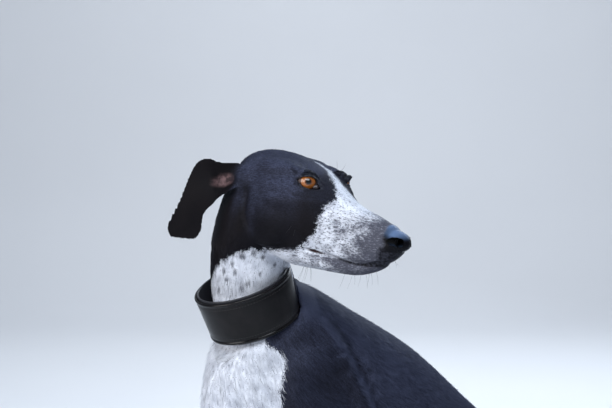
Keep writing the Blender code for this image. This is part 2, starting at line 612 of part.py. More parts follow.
def material(name, colour, rough, metal=0.0):
    made = bpy.data.materials.new(name)
    made.use_nodes = True
    shader = made.node_tree.nodes["Principled BSDF"]
    shader.inputs["Base Color"].default_value = (*colour, 1)
    shader.inputs["Roughness"].default_value = rough
    shader.inputs["Metallic"].default_value = metal
    made.diffuse_color = (*colour, 1)
    return made


def combine(piece, cutters, operation="DIFFERENCE"):
    """Boolean of the piece with each cutter in turn; the cutters are removed."""
    for cutter in cutters:
        cutter.hide_render = True
        cutter.display_type = "WIRE"
        cut = piece.modifiers.new("Cut", "BOOLEAN")
        cut.operation = operation
        cut.solver = "MANIFOLD"
        cut.object = cutter
    apply_all(piece)
    for cutter in cutters:
        bpy.data.objects.remove(cutter)
    return piece


def thin_out(piece, faces):
    """Fewer triangles, most of them kept where the form bends."""
    count = sum(len(p.vertices) - 2 for p in piece.data.polygons)
    fewer = piece.modifiers.new("Thin out", "DECIMATE")
    fewer.ratio = faces / count
    return apply_all(piece)


def block(low, high, grow=0.0, frame=None):
    """A box between two corners, grown on every side, in a frame of its own if given."""
    made = bmesh.new()
    bmesh.ops.create_cube(made, size=1)
    for v in made.verts:
        v.co = [(low[i] + high[i]) / 2 + v.co[i] * (high[i] - low[i] + 2 * grow) for i in range(3)]
    if frame is not None:
        made.transform(frame)
    return from_bmesh("block", made)


def from_bmesh(name, made):
    mesh = bpy.data.meshes.new(name)
    made.to_mesh(mesh)
    made.free()
    piece = bpy.data.objects.new(name, mesh)
    bpy.context.scene.collection.objects.link(piece)
    return piece


def plane_frame(at, facing):
    """Frame at a point whose +Z is the given direction."""
    return Matrix.Translation(at) @ Vector(facing).to_track_quat("Z", "Y").to_matrix().to_4x4()


def keep_largest(piece):
    """Drops slivers that a cut leaves loose."""
    made = bmesh.new()
    made.from_mesh(piece.data)
    seen, groups = set(), []
    for start in made.verts:
        if start in seen:
            continue
        stack, group = [start], []
        seen.add(start)
        while stack:
            v = stack.pop()
            group.append(v)
            for edge in v.link_edges:
                other = edge.other_vert(v)
                if other not in seen:
                    seen.add(other)
                    stack.append(other)
        groups.append(group)
    groups.sort(key=len)
    for group in groups[:-1]:
        bmesh.ops.delete(made, geom=group, context="VERTS")
    made.to_mesh(piece.data)
    made.free()
    return piece


def copy_of(piece, name):
    made = bpy.data.objects.new(name, piece.data.copy())
    bpy.context.scene.collection.objects.link(made)
    return made


def carve(base, name, low, high, frame=None):
    """Takes the part of the base inside a box out as a node, leaving a thin gap."""
    piece = combine(copy_of(base, name), [block(low, high, 0.0, frame)], "INTERSECT")
    combine(base, [block(low, high, GAP, frame)])
    return keep_largest(piece)


def collar_frame():
    return Matrix.Translation(COLLAR_AT) @ Matrix.Rotation(math.radians(COLLAR_LEAN), 4, "X")


def collar_radius(z, out=0.0):
    """Radius of the leather's outer face at a height in the collar's own axes."""
    share = z / COLLAR_HEIGHT + 0.5
    return COLLAR_LOW_RADIUS + (COLLAR_HIGH_RADIUS - COLLAR_LOW_RADIUS) * share + out


def band(name, out, thick, height, grow=0.0, rounded=True):
    """A flat ring around the neck, a little wider at its upper rim. out is how far its outer face lies
    from the leather's."""
    half, r = height / 2, thick / 2
    profile = [(-half, -r), (-half, r)]
    if rounded:
        profile = [(-half + r * 0.7, -r), (-half, -0.4 * r), (-half, 0.4 * r), (-half + r * 0.7, r)]
    profile += [(-z, x) for z, x in reversed(profile)]
    made = bmesh.new()
    loops = []
    for z, across in profile:
        middle = collar_radius(z, out - r)
        reach = middle + across + math.copysign(grow, across)
        z += math.copysign(grow, z)
        loops.append([made.verts.new((reach * math.cos(a), reach * math.sin(a), z))
                      for a in np.linspace(0, 2 * math.pi, COLLAR_SIDES, endpoint=False)])
    for i, loop in enumerate(loops):
        other = loops[(i + 1) % len(loops)]
        for k in range(COLLAR_SIDES):
            j = (k + 1) % COLLAR_SIDES
            made.faces.new((loop[k], loop[j], other[j], other[k]))
    bmesh.ops.recalc_face_normals(made, faces=made.faces)
    made.transform(collar_frame())
    return from_bmesh(name, made)


def strap_end():
    """The tongue of the collar: a second layer of leather at the nape, rounded at its free end."""
    made = bmesh.new()
    rings = []
    for i in range(13):
        share = i / 12
        angle = math.radians(STRAP_FROM + (STRAP_TO - STRAP_FROM) * share)
        round_off = math.sqrt(max(0.0, 1 - max(0.0, (share - 0.80) / 0.20) ** 2))
        half = STRAP_HEIGHT / 2 * max(0.25, round_off)
        ring = []
        for z, out in ((-half, 0.0), (half, 0.0), (half, STRAP_THICK), (-half, STRAP_THICK)):
            reach = collar_radius(z, GAP + out)
            ring.append(made.verts.new((reach * math.cos(angle), reach * math.sin(angle), z)))
        rings.append(ring)
    for low, high in zip(rings, rings[1:]):
        for k in range(4):
            made.faces.new((low[k], low[(k + 1) % 4], high[(k + 1) % 4], high[k]))
    made.faces.new(rings[0])
    made.faces.new(rings[-1])
    bmesh.ops.recalc_face_normals(made, faces=made.faces)
    made.transform(collar_frame())
    return from_bmesh("collar_strap_end", made)


def rod(name, points, radius, closed=False):
    """A round bar along a line of points in the collar's own axes."""
    curve = bpy.data.curves.new(name, "CURVE")
    curve.dimensions = "3D"
    curve.bevel_depth = radius
    curve.bevel_resolution = 1
    curve.use_fill_caps = True
    line = curve.splines.new("POLY")
    line.points.add(len(points) - 1)
    for point, place in zip(line.points, points):
        point.co = (*place, 1)
    line.use_cyclic_u = closed
    holder = bpy.data.objects.new(name, curve)
    bpy.context.scene.collection.objects.link(holder)
    graph = bpy.context.evaluated_depsgraph_get()
    graph.update()
    mesh = bpy.data.meshes.new_from_object(holder.evaluated_get(graph))
    bpy.data.objects.remove(holder)
    made = bmesh.new()
    made.from_mesh(mesh)
    bmesh.ops.remove_doubles(made, verts=made.verts, dist=1e-6)
    bmesh.ops.recalc_face_normals(made, faces=made.faces)
    made.transform(collar_frame())
    return from_bmesh(name, made)


def buckle():
    """A plain rounded frame that follows the strap end's curve, and the prong across it."""
    angle = math.radians(BUCKLE_ANGLE)
    radial = np.array((math.cos(angle), math.sin(angle), 0.0))
    across = np.array((-math.sin(angle), math.cos(angle), 0.0))
    wide, tall = BUCKLE_SIZE[0] / 2, BUCKLE_SIZE[1] / 2
    corner = 0.006

    def seat(x, z):
        out = collar_radius(z, 2 * GAP + STRAP_THICK + BUCKLE_BAR + 0.0006)
        return radial * math.sqrt(out * out - x * x) + across * x + np.array((0, 0, z))

    points = []
    for sx, sz, start in ((1, 1, 0), (-1, 1, 90), (-1, -1, 180), (1, -1, 270)):
        for turn in (0, 45, 90):
            a = math.radians(start + turn)
            x, z = sx * (wide - corner) + corner * math.cos(a), sz * (tall - corner) + corner * math.sin(a)
            points.append(seat(x, z))
    frame = rod("collar_buckle", points, BUCKLE_BAR, closed=True)
    reach = wide - BUCKLE_BAR - GAP
    prong = rod("collar_prong", [seat(x, 0.0) for x in (-reach, 0.0, reach)], PRONG_RADIUS)
    return [frame, prong]


def claw(name, at, heading, fall, side, grow=0.0):
    """A claw as a bent tapering cone; its root lies inside the toe."""
    x, y, z = at
    ahead = np.array((heading * side, -1.0, 0.0))
    ahead /= np.linalg.norm(ahead)
    rows = []
    for share, thick in ((-CLAW_ROOT / CLAW_LENGTH, 0.9), (0.3, 0.9), (1.0, 0.25)):
        drop = fall * max(0.0, share) ** 1.6
        p = np.array((side * x, y, z)) + ahead * CLAW_LENGTH * share - np.array((0, 0, drop))
        r = CLAW_RADIUS * thick + grow
        rows.append((*p, r * 0.8, r, r, 0, 0, 1))
    return loft(name, rows, sides=6, steps=1, cap_rings=0)


def claws():
    """Name, place and heading of every claw on the left, and how far its tip falls."""
    found = []
    for foot, at in (("fore", FORE_TOES_AT), ("hind", HIND_TOES_AT)):
        for number, (offset, back, size) in enumerate(TOES, 1):
            rows = toe_rows(at, offset, back, size)
            found.append((f"claw_{foot}_{number}", (rows[-1][0], rows[-1][1] - 0.0055, rows[-1][2] + 0.002),
                          offset * 8, 0.0065))
    found.append(("claw_dew", (0.0500, -0.0430, 0.0800), 0.0, 0.0060))
    return found


SIDES = (("left", LEFT), ("right", RIGHT))
# Boxes that part the body on the left, low and high corners; the right is their mirror.
LEG_PARTS = (
    ("hind_paw", (0.045, 0.040, -0.010), (0.140, 0.205, 0.0460)),
    ("hind_pastern", (0.0655, 0.205 + 0.0003, -0.010), (0.140, 0.400, 0.0520)),
    ("forepaw", (0.030, -0.150, -0.010), (0.110, 0.020, 0.0560)),
    ("foreleg", (0.030, -0.120, 0.0563), (0.110, 0.060, 0.3050)),
)
SHANK_FRAME = ((0.100, 0.240, 0.148), (0.0, 0.50, 0.866))  # a point on the calf's upper face, its direction
SHANK_BOX = ((-0.0345, -0.150, -0.120), (0.060, 0.150, 0.0))
THIGH_BOX = ((0.044, 0.085, 0.0525), (0.150, 0.420, 0.2900))
UPPER_ARM_BOX = ((0.0470, -0.165, 0.3053), (0.130, 0.050, 0.5050))
RUMP_FROM = ((0.0, 0.215, 0.330), (0.0, 0.85, -0.30))          # where the rump begins and the way it lies
LOIN_FROM = ((0.0, 0.075, 0.380), (0.0, 0.80, -0.42))
TAIL_PARTS = (("tail_tip", 0.150, 0.300), ("tail_middle", 0.045, 0.1497), ("tail_root", -0.060, 0.0447))


def mirrored_box(low, high, side):
    if side > 0:
        return low, high
    return (-high[0], low[1], low[2]), (-low[0], high[1], high[2])


def build():
    nodes = []
    body = thin_out(body_flesh(), BODY_FACES)
    collar_cut = collar_frame()
    combine(body, [block((-0.3, -0.3, 0.0), (0.3, 0.3, 0.4), GAP / 2, collar_cut),
                   block((-1, -1, -0.2), (1, 1, FLOOR_CUT))])
    keep_largest(body)
    body.name = "trunk"
    for name, low, high in TAIL_PARTS:
        nodes.append(carve(body, name, (low, 0.4005, -0.01), (high, 0.60, 0.0720)))
    for word, side in SIDES:
        for name, low, high in LEG_PARTS:
            nodes.append(carve(body, f"{name}_{word}", *mirrored_box(low, high, side)))
        at, facing = SHANK_FRAME
        frame = plane_frame((side * at[0], at[1], at[2]), facing)
        low, high = SHANK_BOX
        nodes.append(carve(body, f"shank_{word}", *mirrored_box(low, high, side), frame))
        nodes.append(carve(body, f"thigh_{word}", *mirrored_box(*THIGH_BOX, side)))
        nodes.append(carve(body, f"upper_arm_{word}", *mirrored_box(*UPPER_ARM_BOX, side)))
    nodes.append(carve(body, "rump", (-0.3, -0.4, 0.0), (0.3, 0.4, 0.6), plane_frame(*RUMP_FROM)))
    nodes.append(carve(body, "loin", (-0.3, -0.4, 0.0), (0.3, 0.4, 0.6), plane_frame(*LOIN_FROM)))
    body.name = "chest"
    nodes.append(keep_largest(body))

    head = thin_out(head_flesh(), HEAD_FACES)
    combine(head, [block((-0.3, -0.3, -0.4), (0.3, 0.3, 0.0), GAP / 2, collar_cut)])
    below = plane_frame(NECK_CUT_AT, NECK_CUT_FACING)
    neck = carve(head, "neck", (-0.3, -0.3, -0.4), (0.3, 0.3, 0.0), below)
    keep_largest(head)
    cutters = [mouth_cutter()]
    for word, side in SIDES:
        cutters += [eyeball("socket", side, GAP), opening_cutter(side), ear("ear socket", side, 2 * GAP)]
    combine(head, cutters)
    nose = carve(head, "nose", *NOSE_BOX, head_frame() @ plane_frame(NOSE_CUT_AT, NOSE_CUT_FACING))
    combine(nose, [nostril_cutter(side) for side in (LEFT, RIGHT)])
    keep_largest(head)
    keep_largest(nose)
    nodes += [head, neck, nose]
    for word, side in SIDES:
        nodes += [eyeball(f"eye_{word}", side), ear(f"ear_{word}", side)]

    leather = band("collar_leather", 0.0, LEATHER_THICK, COLLAR_HEIGHT)
    lining = band("collar_lining", -LEATHER_THICK - GAP, LINING_THICK, COLLAR_HEIGHT + 2 * LINING_PROUD)
    for flesh in nodes:
        if flesh.name in ("neck", "chest", "upper_arm_left", "upper_arm_right"):
            combine(flesh, [band("clearance", COLLAR_ROOM, LEATHER_THICK + LINING_THICK + GAP + COLLAR_ROOM,
                                 COLLAR_HEIGHT + 2 * LINING_PROUD, GAP, rounded=False)])
            keep_largest(flesh)
    nodes += [leather, lining, strap_end()] + buckle()

    parts = {node.name: node for node in nodes}
    for word, side in SIDES:
        for name, at, heading, fall in claws():
            foot = "forepaw" if "fore" in name else "hind_paw" if "hind" in name else "foreleg"
            combine(parts[f"{foot}_{word}"], [claw("socket", at, heading, fall, side, GAP)])
            parts[f"{name}_{word}"] = claw(f"{name}_{word}", at, heading, fall, side)
            nodes.append(parts[f"{name}_{word}"])
        keep_largest(parts[f"forepaw_{word}"])
        keep_largest(parts[f"hind_paw_{word}"])
    return nodes


def finish(nodes):
    """Colours, shading and the origin on the floor under the middle of the model."""
    low = np.min([points_of(n.data).min(axis=0) for n in nodes], axis=0)
    high = np.max([points_of(n.data).max(axis=0) for n in nodes], axis=0)
    shift = Matrix.Translation((-(low[0] + high[0]) / 2, -(low[1] + high[1]) / 2, -FLOOR_CUT))
    for node in nodes:
        node.data.transform(shift)
        one_sided = node.name.removesuffix("_left").removesuffix("_right")
        colour, rough, metal = LOOKS.get(one_sided, LOOKS["coat"])
        if node.name.startswith("claw"):
            colour, rough, metal = LOOKS["claw"]
        node.data.materials.clear()
        node.data.materials.append(material(node.name + " look", colour, rough, metal))
        for face in node.data.polygons:
            face.material_index = 0
        node.data.shade_smooth()
        node.data.set_sharp_from_angle(angle=math.radians(SHARP_ANGLE))


for old in list(bpy.data.objects):
    bpy.data.objects.remove(old)
finish(build())
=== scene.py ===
import json
import math

import bmesh
import bpy
import numpy as np
from mathutils import Matrix, Vector
from mathutils.bvhtree import BVHTree

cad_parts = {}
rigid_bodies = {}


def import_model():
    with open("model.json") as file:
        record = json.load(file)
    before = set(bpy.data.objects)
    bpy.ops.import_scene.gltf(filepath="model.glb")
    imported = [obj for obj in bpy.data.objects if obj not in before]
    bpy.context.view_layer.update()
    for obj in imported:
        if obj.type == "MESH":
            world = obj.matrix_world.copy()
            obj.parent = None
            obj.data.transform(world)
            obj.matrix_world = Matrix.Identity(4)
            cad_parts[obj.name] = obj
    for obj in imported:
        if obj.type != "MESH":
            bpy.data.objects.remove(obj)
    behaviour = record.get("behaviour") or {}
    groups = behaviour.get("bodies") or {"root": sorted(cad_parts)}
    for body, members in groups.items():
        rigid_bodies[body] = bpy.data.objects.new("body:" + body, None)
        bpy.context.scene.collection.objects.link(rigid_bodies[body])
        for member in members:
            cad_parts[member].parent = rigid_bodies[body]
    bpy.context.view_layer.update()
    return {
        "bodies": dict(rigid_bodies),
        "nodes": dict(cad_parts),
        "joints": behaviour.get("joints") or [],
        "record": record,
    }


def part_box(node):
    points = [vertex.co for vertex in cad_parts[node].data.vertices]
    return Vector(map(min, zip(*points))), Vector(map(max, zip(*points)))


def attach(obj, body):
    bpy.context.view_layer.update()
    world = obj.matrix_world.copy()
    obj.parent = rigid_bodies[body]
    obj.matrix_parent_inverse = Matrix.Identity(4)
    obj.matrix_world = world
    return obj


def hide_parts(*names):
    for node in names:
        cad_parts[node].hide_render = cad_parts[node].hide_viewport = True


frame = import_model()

LEFT, RIGHT = 1.0, -1.0
SIDES = {LEFT: "left", RIGHT: "right"}
CM = 0.01
GAP = 0.0003                       # between nodes that touch
FLOOR_CUT = 0.002                  # height of the flats under the feet, rump and tail, as drawn
CAP_ROUND = 0.9                    # how far a form's end bulges, over its smallest radius

HEAD_AT = (0.122, -0.095, 0.677)   # midway between the eyes
HEAD_YAW = 5.0                     # degrees from +X towards +Y: the head looks back over the left shoulder
HEAD_PITCH = 5.0                   # nose below level
HEAD_ROLL = 3.0                    # left side of the head lower

COLLAR_AT = (0.002, -0.1145, 0.533)
COLLAR_LEAN = 22.0                 # degrees the collar's axis leans forward
COLLAR_HEIGHT = 0.054
COLLAR_LOW_RADIUS = 0.0545
COLLAR_HIGH_RADIUS = 0.0580
LEATHER_THICK = 0.0030
LINING_THICK = 0.0024
LINING_PROUD = 0.0020              # how far the lining stands above and below the leather
STRAP_THICK = 0.0024
STRAP_HEIGHT = 0.030
STRAP_FROM, STRAP_TO = 75.0, 140.0       # degrees round the collar; 90 is the nape
BUCKLE_ANGLE = 92.0
BUCKLE_BAR = 0.0019
BUCKLE_SIZE = (0.026, 0.042)
PRONG_RADIUS = 0.0013
CLAW_LENGTH = 0.0105
CLAW_RADIUS = 0.0026
CLAW_ROOT = 0.0030                 # how far a claw reaches into its toe


def catmull(rows, steps):
    """Rows of numbers along a smooth curve through the given rows."""
    rows = np.array(rows, float)
    padded = np.vstack([2 * rows[0] - rows[1], rows, 2 * rows[-1] - rows[-2]])
    out = []
    for i in range(1, len(padded) - 2):
        p0, p1, p2, p3 = padded[i - 1:i + 3]
        for t in np.arange(steps) / steps:
            out.append(0.5 * (2 * p1 + (p2 - p0) * t + (2 * p0 - 5 * p1 + 4 * p2 - p3) * t ** 2
                              + (3 * p1 - p0 - 3 * p2 + p3) * t ** 3))
    out.append(rows[-1])
    return np.array(out)


def unit(v):
    v = np.asarray(v, float)
    return v / np.maximum(np.linalg.norm(v, axis=-1, keepdims=True), 1e-12)


def turns(sides):
    """Equal steps once round."""
    return np.linspace(0, 2 * math.pi, sides, endpoint=False)


def squarish(values, power):
    """Sines or cosines that make an ellipse's corners fuller the lower the power is."""
    return np.sign(values) * np.abs(values) ** power


def link(name, data):
    """A new object in the scene."""
    piece = bpy.data.objects.new(name, data)
    bpy.context.scene.collection.objects.link(piece)
    return piece


def from_bmesh(name, made):
    mesh = bpy.data.meshes.new(name)
    made.to_mesh(mesh)
    made.free()
    return link(name, mesh)


def quads(made, rings):
    """Faces between each ring of corners and the next."""
    for low, high in zip(rings, rings[1:]):
        for i in range(len(low)):
            j = (i + 1) % len(low)
            made.faces.new((low[i], low[j], high[j], high[i]))


def ring_mesh(name, rings):
    """A closed mesh from rings of points, each end closed by a fan."""
    made = bmesh.new()
    loops = [[made.verts.new(p) for p in ring] for ring in rings]
    quads(made, loops)
    for loop, turn in ((loops[0], -1), (loops[-1], 1)):
        tip = made.verts.new(np.mean([v.co[:] for v in loop], axis=0))
        for pair in zip(loop, loop[1:] + loop[:1]):
            made.faces.new((*pair[::turn], tip))
    bmesh.ops.triangulate(made, faces=made.faces, quad_method="FIXED")
    bmesh.ops.recalc_face_normals(made, faces=made.faces)
    return from_bmesh(name, made)


def loft(name, rows, sides=28, steps=5, power=2.0, egg=None, cap_rings=3, square=True):
    """A body along a curve with rounded ends. A row is x, y, z, half-width, upper and lower half-depth,
    and the upward direction; egg says for each row how much narrower the lower half is; sections that are
    not square lie along the upward direction as given."""
    rows = np.array(rows, float)
    egg = np.zeros(len(rows)) if egg is None else np.array(egg, float)
    dense = catmull(np.column_stack([rows, egg]), steps)
    centres, radii, hints, eggs = dense[:, :3], dense[:, 3:6], dense[:, 6:9], dense[:, 9]
    along = unit(np.gradient(centres, axis=0))
    up = unit(hints - (np.sum(hints * along, axis=1, keepdims=True) * along if square else 0.0))
    side = unit(np.cross(along, up))
    c, s = (squarish(way(turns(sides)), 2 / power) for way in (np.cos, np.sin))

    def ring(i, shift=0.0, scale=1.0):
        wide, high, low = radii[i] * scale
        depth = np.where(s > 0, high, low) * s
        middle = centres[i] + along[i] * shift
        return middle + np.outer(c * wide * (1 + eggs[i] * s), side[i]) + np.outer(depth, up[i])

    last = len(centres) - 1
    angles = [math.radians(90 * (1 - (i + 0.6) / (cap_rings + 0.6))) for i in range(cap_rings)]
    first_reach, last_reach = radii[0].min() * CAP_ROUND, radii[last].min() * CAP_ROUND
    rings = [ring(0, -first_reach * math.sin(a), math.cos(a)) for a in angles]
    rings += [ring(i) for i in range(last + 1)]
    rings += [ring(last, last_reach * math.sin(a), math.cos(a)) for a in reversed(angles)]
    return ring_mesh(name, rings)


def blob(name, centre, radii, along=(0, 1, 0), up=(0, 0, 1), sides=20):
    """An ellipsoid with radii along, across and upwards."""
    a = unit(np.array(along, float))
    u = unit(np.array(up, float) - np.dot(up, a) * a)
    v = np.cross(a, u)
    rings, turn = [], turns(sides)
    for t in np.linspace(-0.92, 0.92, 13) * math.pi / 2:
        middle = np.array(centre) + a * radii[0] * math.sin(t)
        rings.append(middle + math.cos(t) * (np.outer(np.cos(turn) * radii[1], v)
                                            + np.outer(np.sin(turn) * radii[2], u)))
    return ring_mesh(name, rings)


def head_frame():
    """4 by 4 matrix from the head's own axes, nose +X, left +Y, crown +Z, to the body's."""
    yaw, pitch, roll = (math.radians(a) for a in (HEAD_YAW, HEAD_PITCH, HEAD_ROLL))
    turned = Matrix.Rotation(yaw, 4, "Z") @ Matrix.Rotation(pitch, 4, "Y") @ Matrix.Rotation(-roll, 4, "X")
    return Matrix.Translation(HEAD_AT) @ turned


def to_head(piece):
    """Moves a piece made in the head's axes to its place on the body."""
    piece.data.transform(head_frame())
    return piece


# Trunk: the back's point and the belly's point (y, z) of each section, its half-width, and how much narrower
# its lower half is.
TRUNK = (
    ((0.388, 0.080), (0.340, 0.058), 0.032, 0.0),
    ((0.396, 0.115), (0.300, 0.092), 0.048, 0.0),
    ((0.385, 0.183), (0.272, 0.145), 0.060, 0.0),
    ((0.357, 0.243), (0.250, 0.187), 0.063, 0.0),
    ((0.321, 0.298), (0.224, 0.217), 0.062, 0.0),
    ((0.276, 0.346), (0.187, 0.234), 0.066, 0.0),
    ((0.214, 0.395), (0.128, 0.244), 0.076, 0.0),
    ((0.165, 0.433), (0.066, 0.252), 0.086, 0.05),
    ((0.121, 0.465), (0.004, 0.260), 0.090, 0.10),
    ((0.070, 0.495), (-0.060, 0.276), 0.088, 0.14),
    ((0.025, 0.519), (-0.120, 0.310), 0.082, 0.18),
    ((-0.008, 0.538), (-0.159, 0.360), 0.074, 0.18),
    ((-0.032, 0.551), (-0.174, 0.410), 0.062, 0.15),
    ((-0.052, 0.560), (-0.165, 0.462), 0.048, 0.08),
    ((-0.065, 0.574), (-0.154, 0.512), 0.042, 0.03),
)
# Neck above the collar: centre, half-width, half-depth to the nape and to the throat, direction of the nape.
NECK = (
    (0.001, -0.113, 0.572, 0.047, 0.046, 0.046, -0.1, 1.0, 0.3),
    (0.005, -0.112, 0.602, 0.047, 0.049, 0.049, -0.5, 0.8, 0.2),
    (0.014, -0.110, 0.634, 0.046, 0.057, 0.057, -0.9, 0.4, 0.2),
    (0.034, -0.104, 0.660, 0.041, 0.060, 0.054, -1.0, 0.1, 0.5),
    (0.055, -0.102, 0.670, 0.028, 0.034, 0.034, -0.8, 0.0, 0.9),
)


def trunk(first=0):
    """Trunk and neck in one, from the given section on."""
    rows = []
    for (top_y, top_z), (low_y, low_z), half, _ in TRUNK[first:]:
        depth = math.hypot(top_y - low_y, top_z - low_z) / 2
        rows.append((0, (top_y + low_y) / 2, (top_z + low_z) / 2, half, depth, depth,
                     0, top_y - low_y, top_z - low_z))
    egg = [row[3] for row in TRUNK[first:]] + [0.0] * len(NECK)
    return loft("trunk", rows + list(NECK), sides=44, steps=6, power=2.1, egg=egg, square=False)


# Head sections: place along the nose's axis, top, bottom, half-width, height of the widest, all in
# centimetres from the point midway between the eyes, then how square the upper and the lower half are.
SKULL = (
    (-13.2, 0.1, -4.6, 2.0, -1.8, 2.0, 2.0),
    (-11.9, 2.05, -6.2, 3.6, -1.6, 2.0, 2.0),
    (-9.7, 2.75, -7.8, 4.35, -1.8, 2.0, 2.0),
    (-7.5, 2.82, -8.9, 4.65, -2.1, 2.0, 2.0),
    (-5.5, 2.62, -9.4, 4.75, -2.2, 2.0, 2.0),
    (-3.5, 2.12, -9.5, 4.7, -2.2, 2.0, 2.0),
    (-1.5, 1.48, -9.3, 4.35, -2.1, 2.0, 2.0),
    (0.0, 0.9, -8.8, 3.95, -2.5, 2.0, 2.0),
    (1.2, 0.12, -8.1, 3.4, -3.4, 2.1, 2.2),
    (2.6, -0.85, -7.7, 2.9, -4.5, 2.2, 2.4),
    (4.2, -1.6, -7.7, 2.5, -5.2, 2.2, 2.6),
    (6.0, -2.15, -7.75, 2.2, -5.6, 2.2, 2.6),
    (8.0, -2.62, -7.75, 2.0, -5.8, 2.2, 2.6),
    (9.6, -3.2, -7.5, 1.8, -5.7, 2.2, 2.5),
    (10.7, -3.65, -6.8, 1.55, -5.4, 2.1, 2.3),
    (11.4, -4.4, -6.2, 1.15, -5.2, 2.0, 2.0),
)
JAW = (
    (-6.0, -6.0, -9.3, 3.0, -7.2, 2.0, 2.0),
    (-4.0, -6.2, -9.8, 2.9, -7.6, 2.0, 2.0),
    (-1.5, -6.6, -9.8, 2.5, -7.9, 2.0, 2.0),
    (1.0, -6.9, -9.7, 2.2, -8.1, 2.0, 2.0),
    (3.5, -7.0, -9.6, 1.9, -8.2, 2.0, 2.2),
    (5.5, -7.0, -9.45, 1.7, -8.2, 2.0, 2.2),
    (7.2, -7.0, -9.0, 1.5, -8.0, 2.0, 2.2),
    (8.6, -7.1, -8.4, 1.25, -7.8, 2.0, 2.0),
    (9.5, -7.2, -7.9, 0.8, -7.5, 2.0, 2.0),
)


def section_loft(name, table, sides=36, steps=5):
    """A loft along the head's axis, whose sections are wider at a named height."""
    rings, turn = [], turns(sides)
    for x, top, low, half, wide, n_top, n_low in catmull(table, steps):
        n = np.where(np.sin(turn) > 0, n_top, n_low)
        c, s = squarish(np.cos(turn), 2 / n), squarish(np.sin(turn), 2 / n)
        z = wide + np.where(s > 0, top - wide, wide - low) * s
        rings.append(CM * np.column_stack([np.full(sides, x), half * c, z]))
    return ring_mesh(name, rings)


NOSE_TIP = (10.95, 0.0, -4.80)
EYE_AT = (-0.95, 2.48, 0.02)        # middle of the eyeball, on the left, in centimetres in the head's axes
EYE_GAZE = (0.76, 0.65, 0.06)
EYE_RADIUS = 0.0118
EYE_SIDES = 48
EYE_RINGS = 30
CORNEA_RISE = 0.0009
CORNEA_RADIUS = 0.0066
LID_RADIUS = 0.0133


def side_point(x, y, z, side):
    """A point in the head's axes on that side."""
    return (x * CM, side * y * CM, z * CM)


def eye_axes(side):
    """Middle of the eyeball, line of sight, way to the inner corner and upwards, in the head's axes."""
    at = np.array(side_point(*EYE_AT, side))
    gaze = unit(np.array(EYE_GAZE) * (1, side, 1))
    inner = unit(np.array((1.0, 0.0, 0.0)) - gaze[0] * gaze)
    up = np.array((0.0, 0.0, 1.0)) - gaze[2] * gaze
    return at, gaze, inner, unit(up - np.dot(up, inner) * inner)


def skull_forms():
    """Skull, muzzle and lower jaw, with the cheek muscles and ear roots."""
    forms = [section_loft("skull", SKULL), section_loft("jaw", JAW)]
    for side in SIDES:
        forms += [
            blob("temple", side_point(-6.2, 2.2, 0.55, side), (0.046, 0.020, 0.017), (1, 0, 0.02)),
            blob("cheek", side_point(-5.4, 3.5, -4.3, side), (0.040, 0.0145, 0.038), (1, 0, 0.15)),
            blob("cheekbone", side_point(-1.4, 3.45, -2.3, side), (0.042, 0.010, 0.012),
                 (1, -side * 0.32, 0.05)),
            blob("ear root", side_point(-9.2, 3.35, -1.2, side), (0.026, 0.0135, 0.024), (1, 0, 0)),
        ]
    return [to_head(form) for form in forms]


def face_forms():
    """Nose, lips, brows and lids, set on the smoothed skull."""
    forms = [
        blob("nose", side_point(*NOSE_TIP, LEFT), (0.0146, 0.0138, 0.0108), (1, 0, -0.42)),
        blob("nose root", side_point(9.75, 0.0, -4.05, LEFT), (0.0130, 0.0120, 0.0085), (1, 0, -0.52)),
        blob("upper lip", side_point(9.2, 0.0, -6.35, LEFT), (0.0135, 0.0150, 0.0090), (1, 0, -0.10)),
        blob("chin", side_point(8.0, 0.0, -7.95, LEFT), (0.0130, 0.0120, 0.0055), (1, 0, 0.25)),
    ]
    for side in SIDES:
        at, gaze, inner, up = eye_axes(side)
        forms += [
            blob("nostril wing", side_point(10.9, 0.78, -4.85, side), (0.0108, 0.0080, 0.0086),
                 (1, side * 0.2, -0.3)),
            blob("lip", side_point(5.5, 1.45, -6.8, side), (0.044, 0.0072, 0.0100), (1, -side * 0.08, 0.0)),
            blob("lids", at, (LID_RADIUS, LID_RADIUS, LID_RADIUS), tuple(gaze), tuple(up)),
            blob("brow", side_point(-1.5, 2.45, 0.85, side), (0.020, 0.0095, 0.0058),
                 (1, -side * 0.25, -0.36)),
        ]
        crease = []
        for turn, reach in ((200, 1.46), (165, 1.56), (130, 1.62), (95, 1.60), (60, 1.54), (30, 1.44)):
            c, s = math.cos(math.radians(turn)), math.sin(math.radians(turn))
            p = at + CM * reach * (c * inner * 0.95 + s * up * 0.72) + gaze * 0.0046
            crease.append((*p, 0.0017, 0.0017, 0.0017, *gaze))
        forms.append(loft("lid fold", crease, sides=10, steps=3))
    return [to_head(form) for form in forms]


def eye_body(name, side, angles, sides, grow=0.0, swell=1.0):
    """The eye as a body turned about its line of sight, the cornea standing a little proud, and where each
    ring's points lie across the gaze."""
    at, gaze, inner, up = eye_axes(side)
    c_turn, s_turn = np.cos(turns(sides)), np.sin(turns(sides))
    rings, across = [], []
    for angle in angles:
        c, s = math.cos(math.radians(angle)), math.sin(math.radians(angle))
        wide, deep = (EYE_RADIUS + grow) * s, (EYE_RADIUS + grow) * c
        if c > 0 and wide < CORNEA_RADIUS:
            deep += CORNEA_RISE * (1 - (wide / CORNEA_RADIUS) ** 2) ** swell
        rings.append(at + gaze * deep + wide * (np.outer(c_turn, inner) + np.outer(s_turn, up)))
        across.append(wide * np.column_stack([c_turn, s_turn, np.full(sides, c * 0.01)]))
    return to_head(ring_mesh(name, rings)), across


def eyeball(name, side, grow=0.0):
    """The eye as the solid part has it."""
    return eye_body(name, side, np.linspace(7, 173, EYE_RINGS), EYE_SIDES, grow)[0]


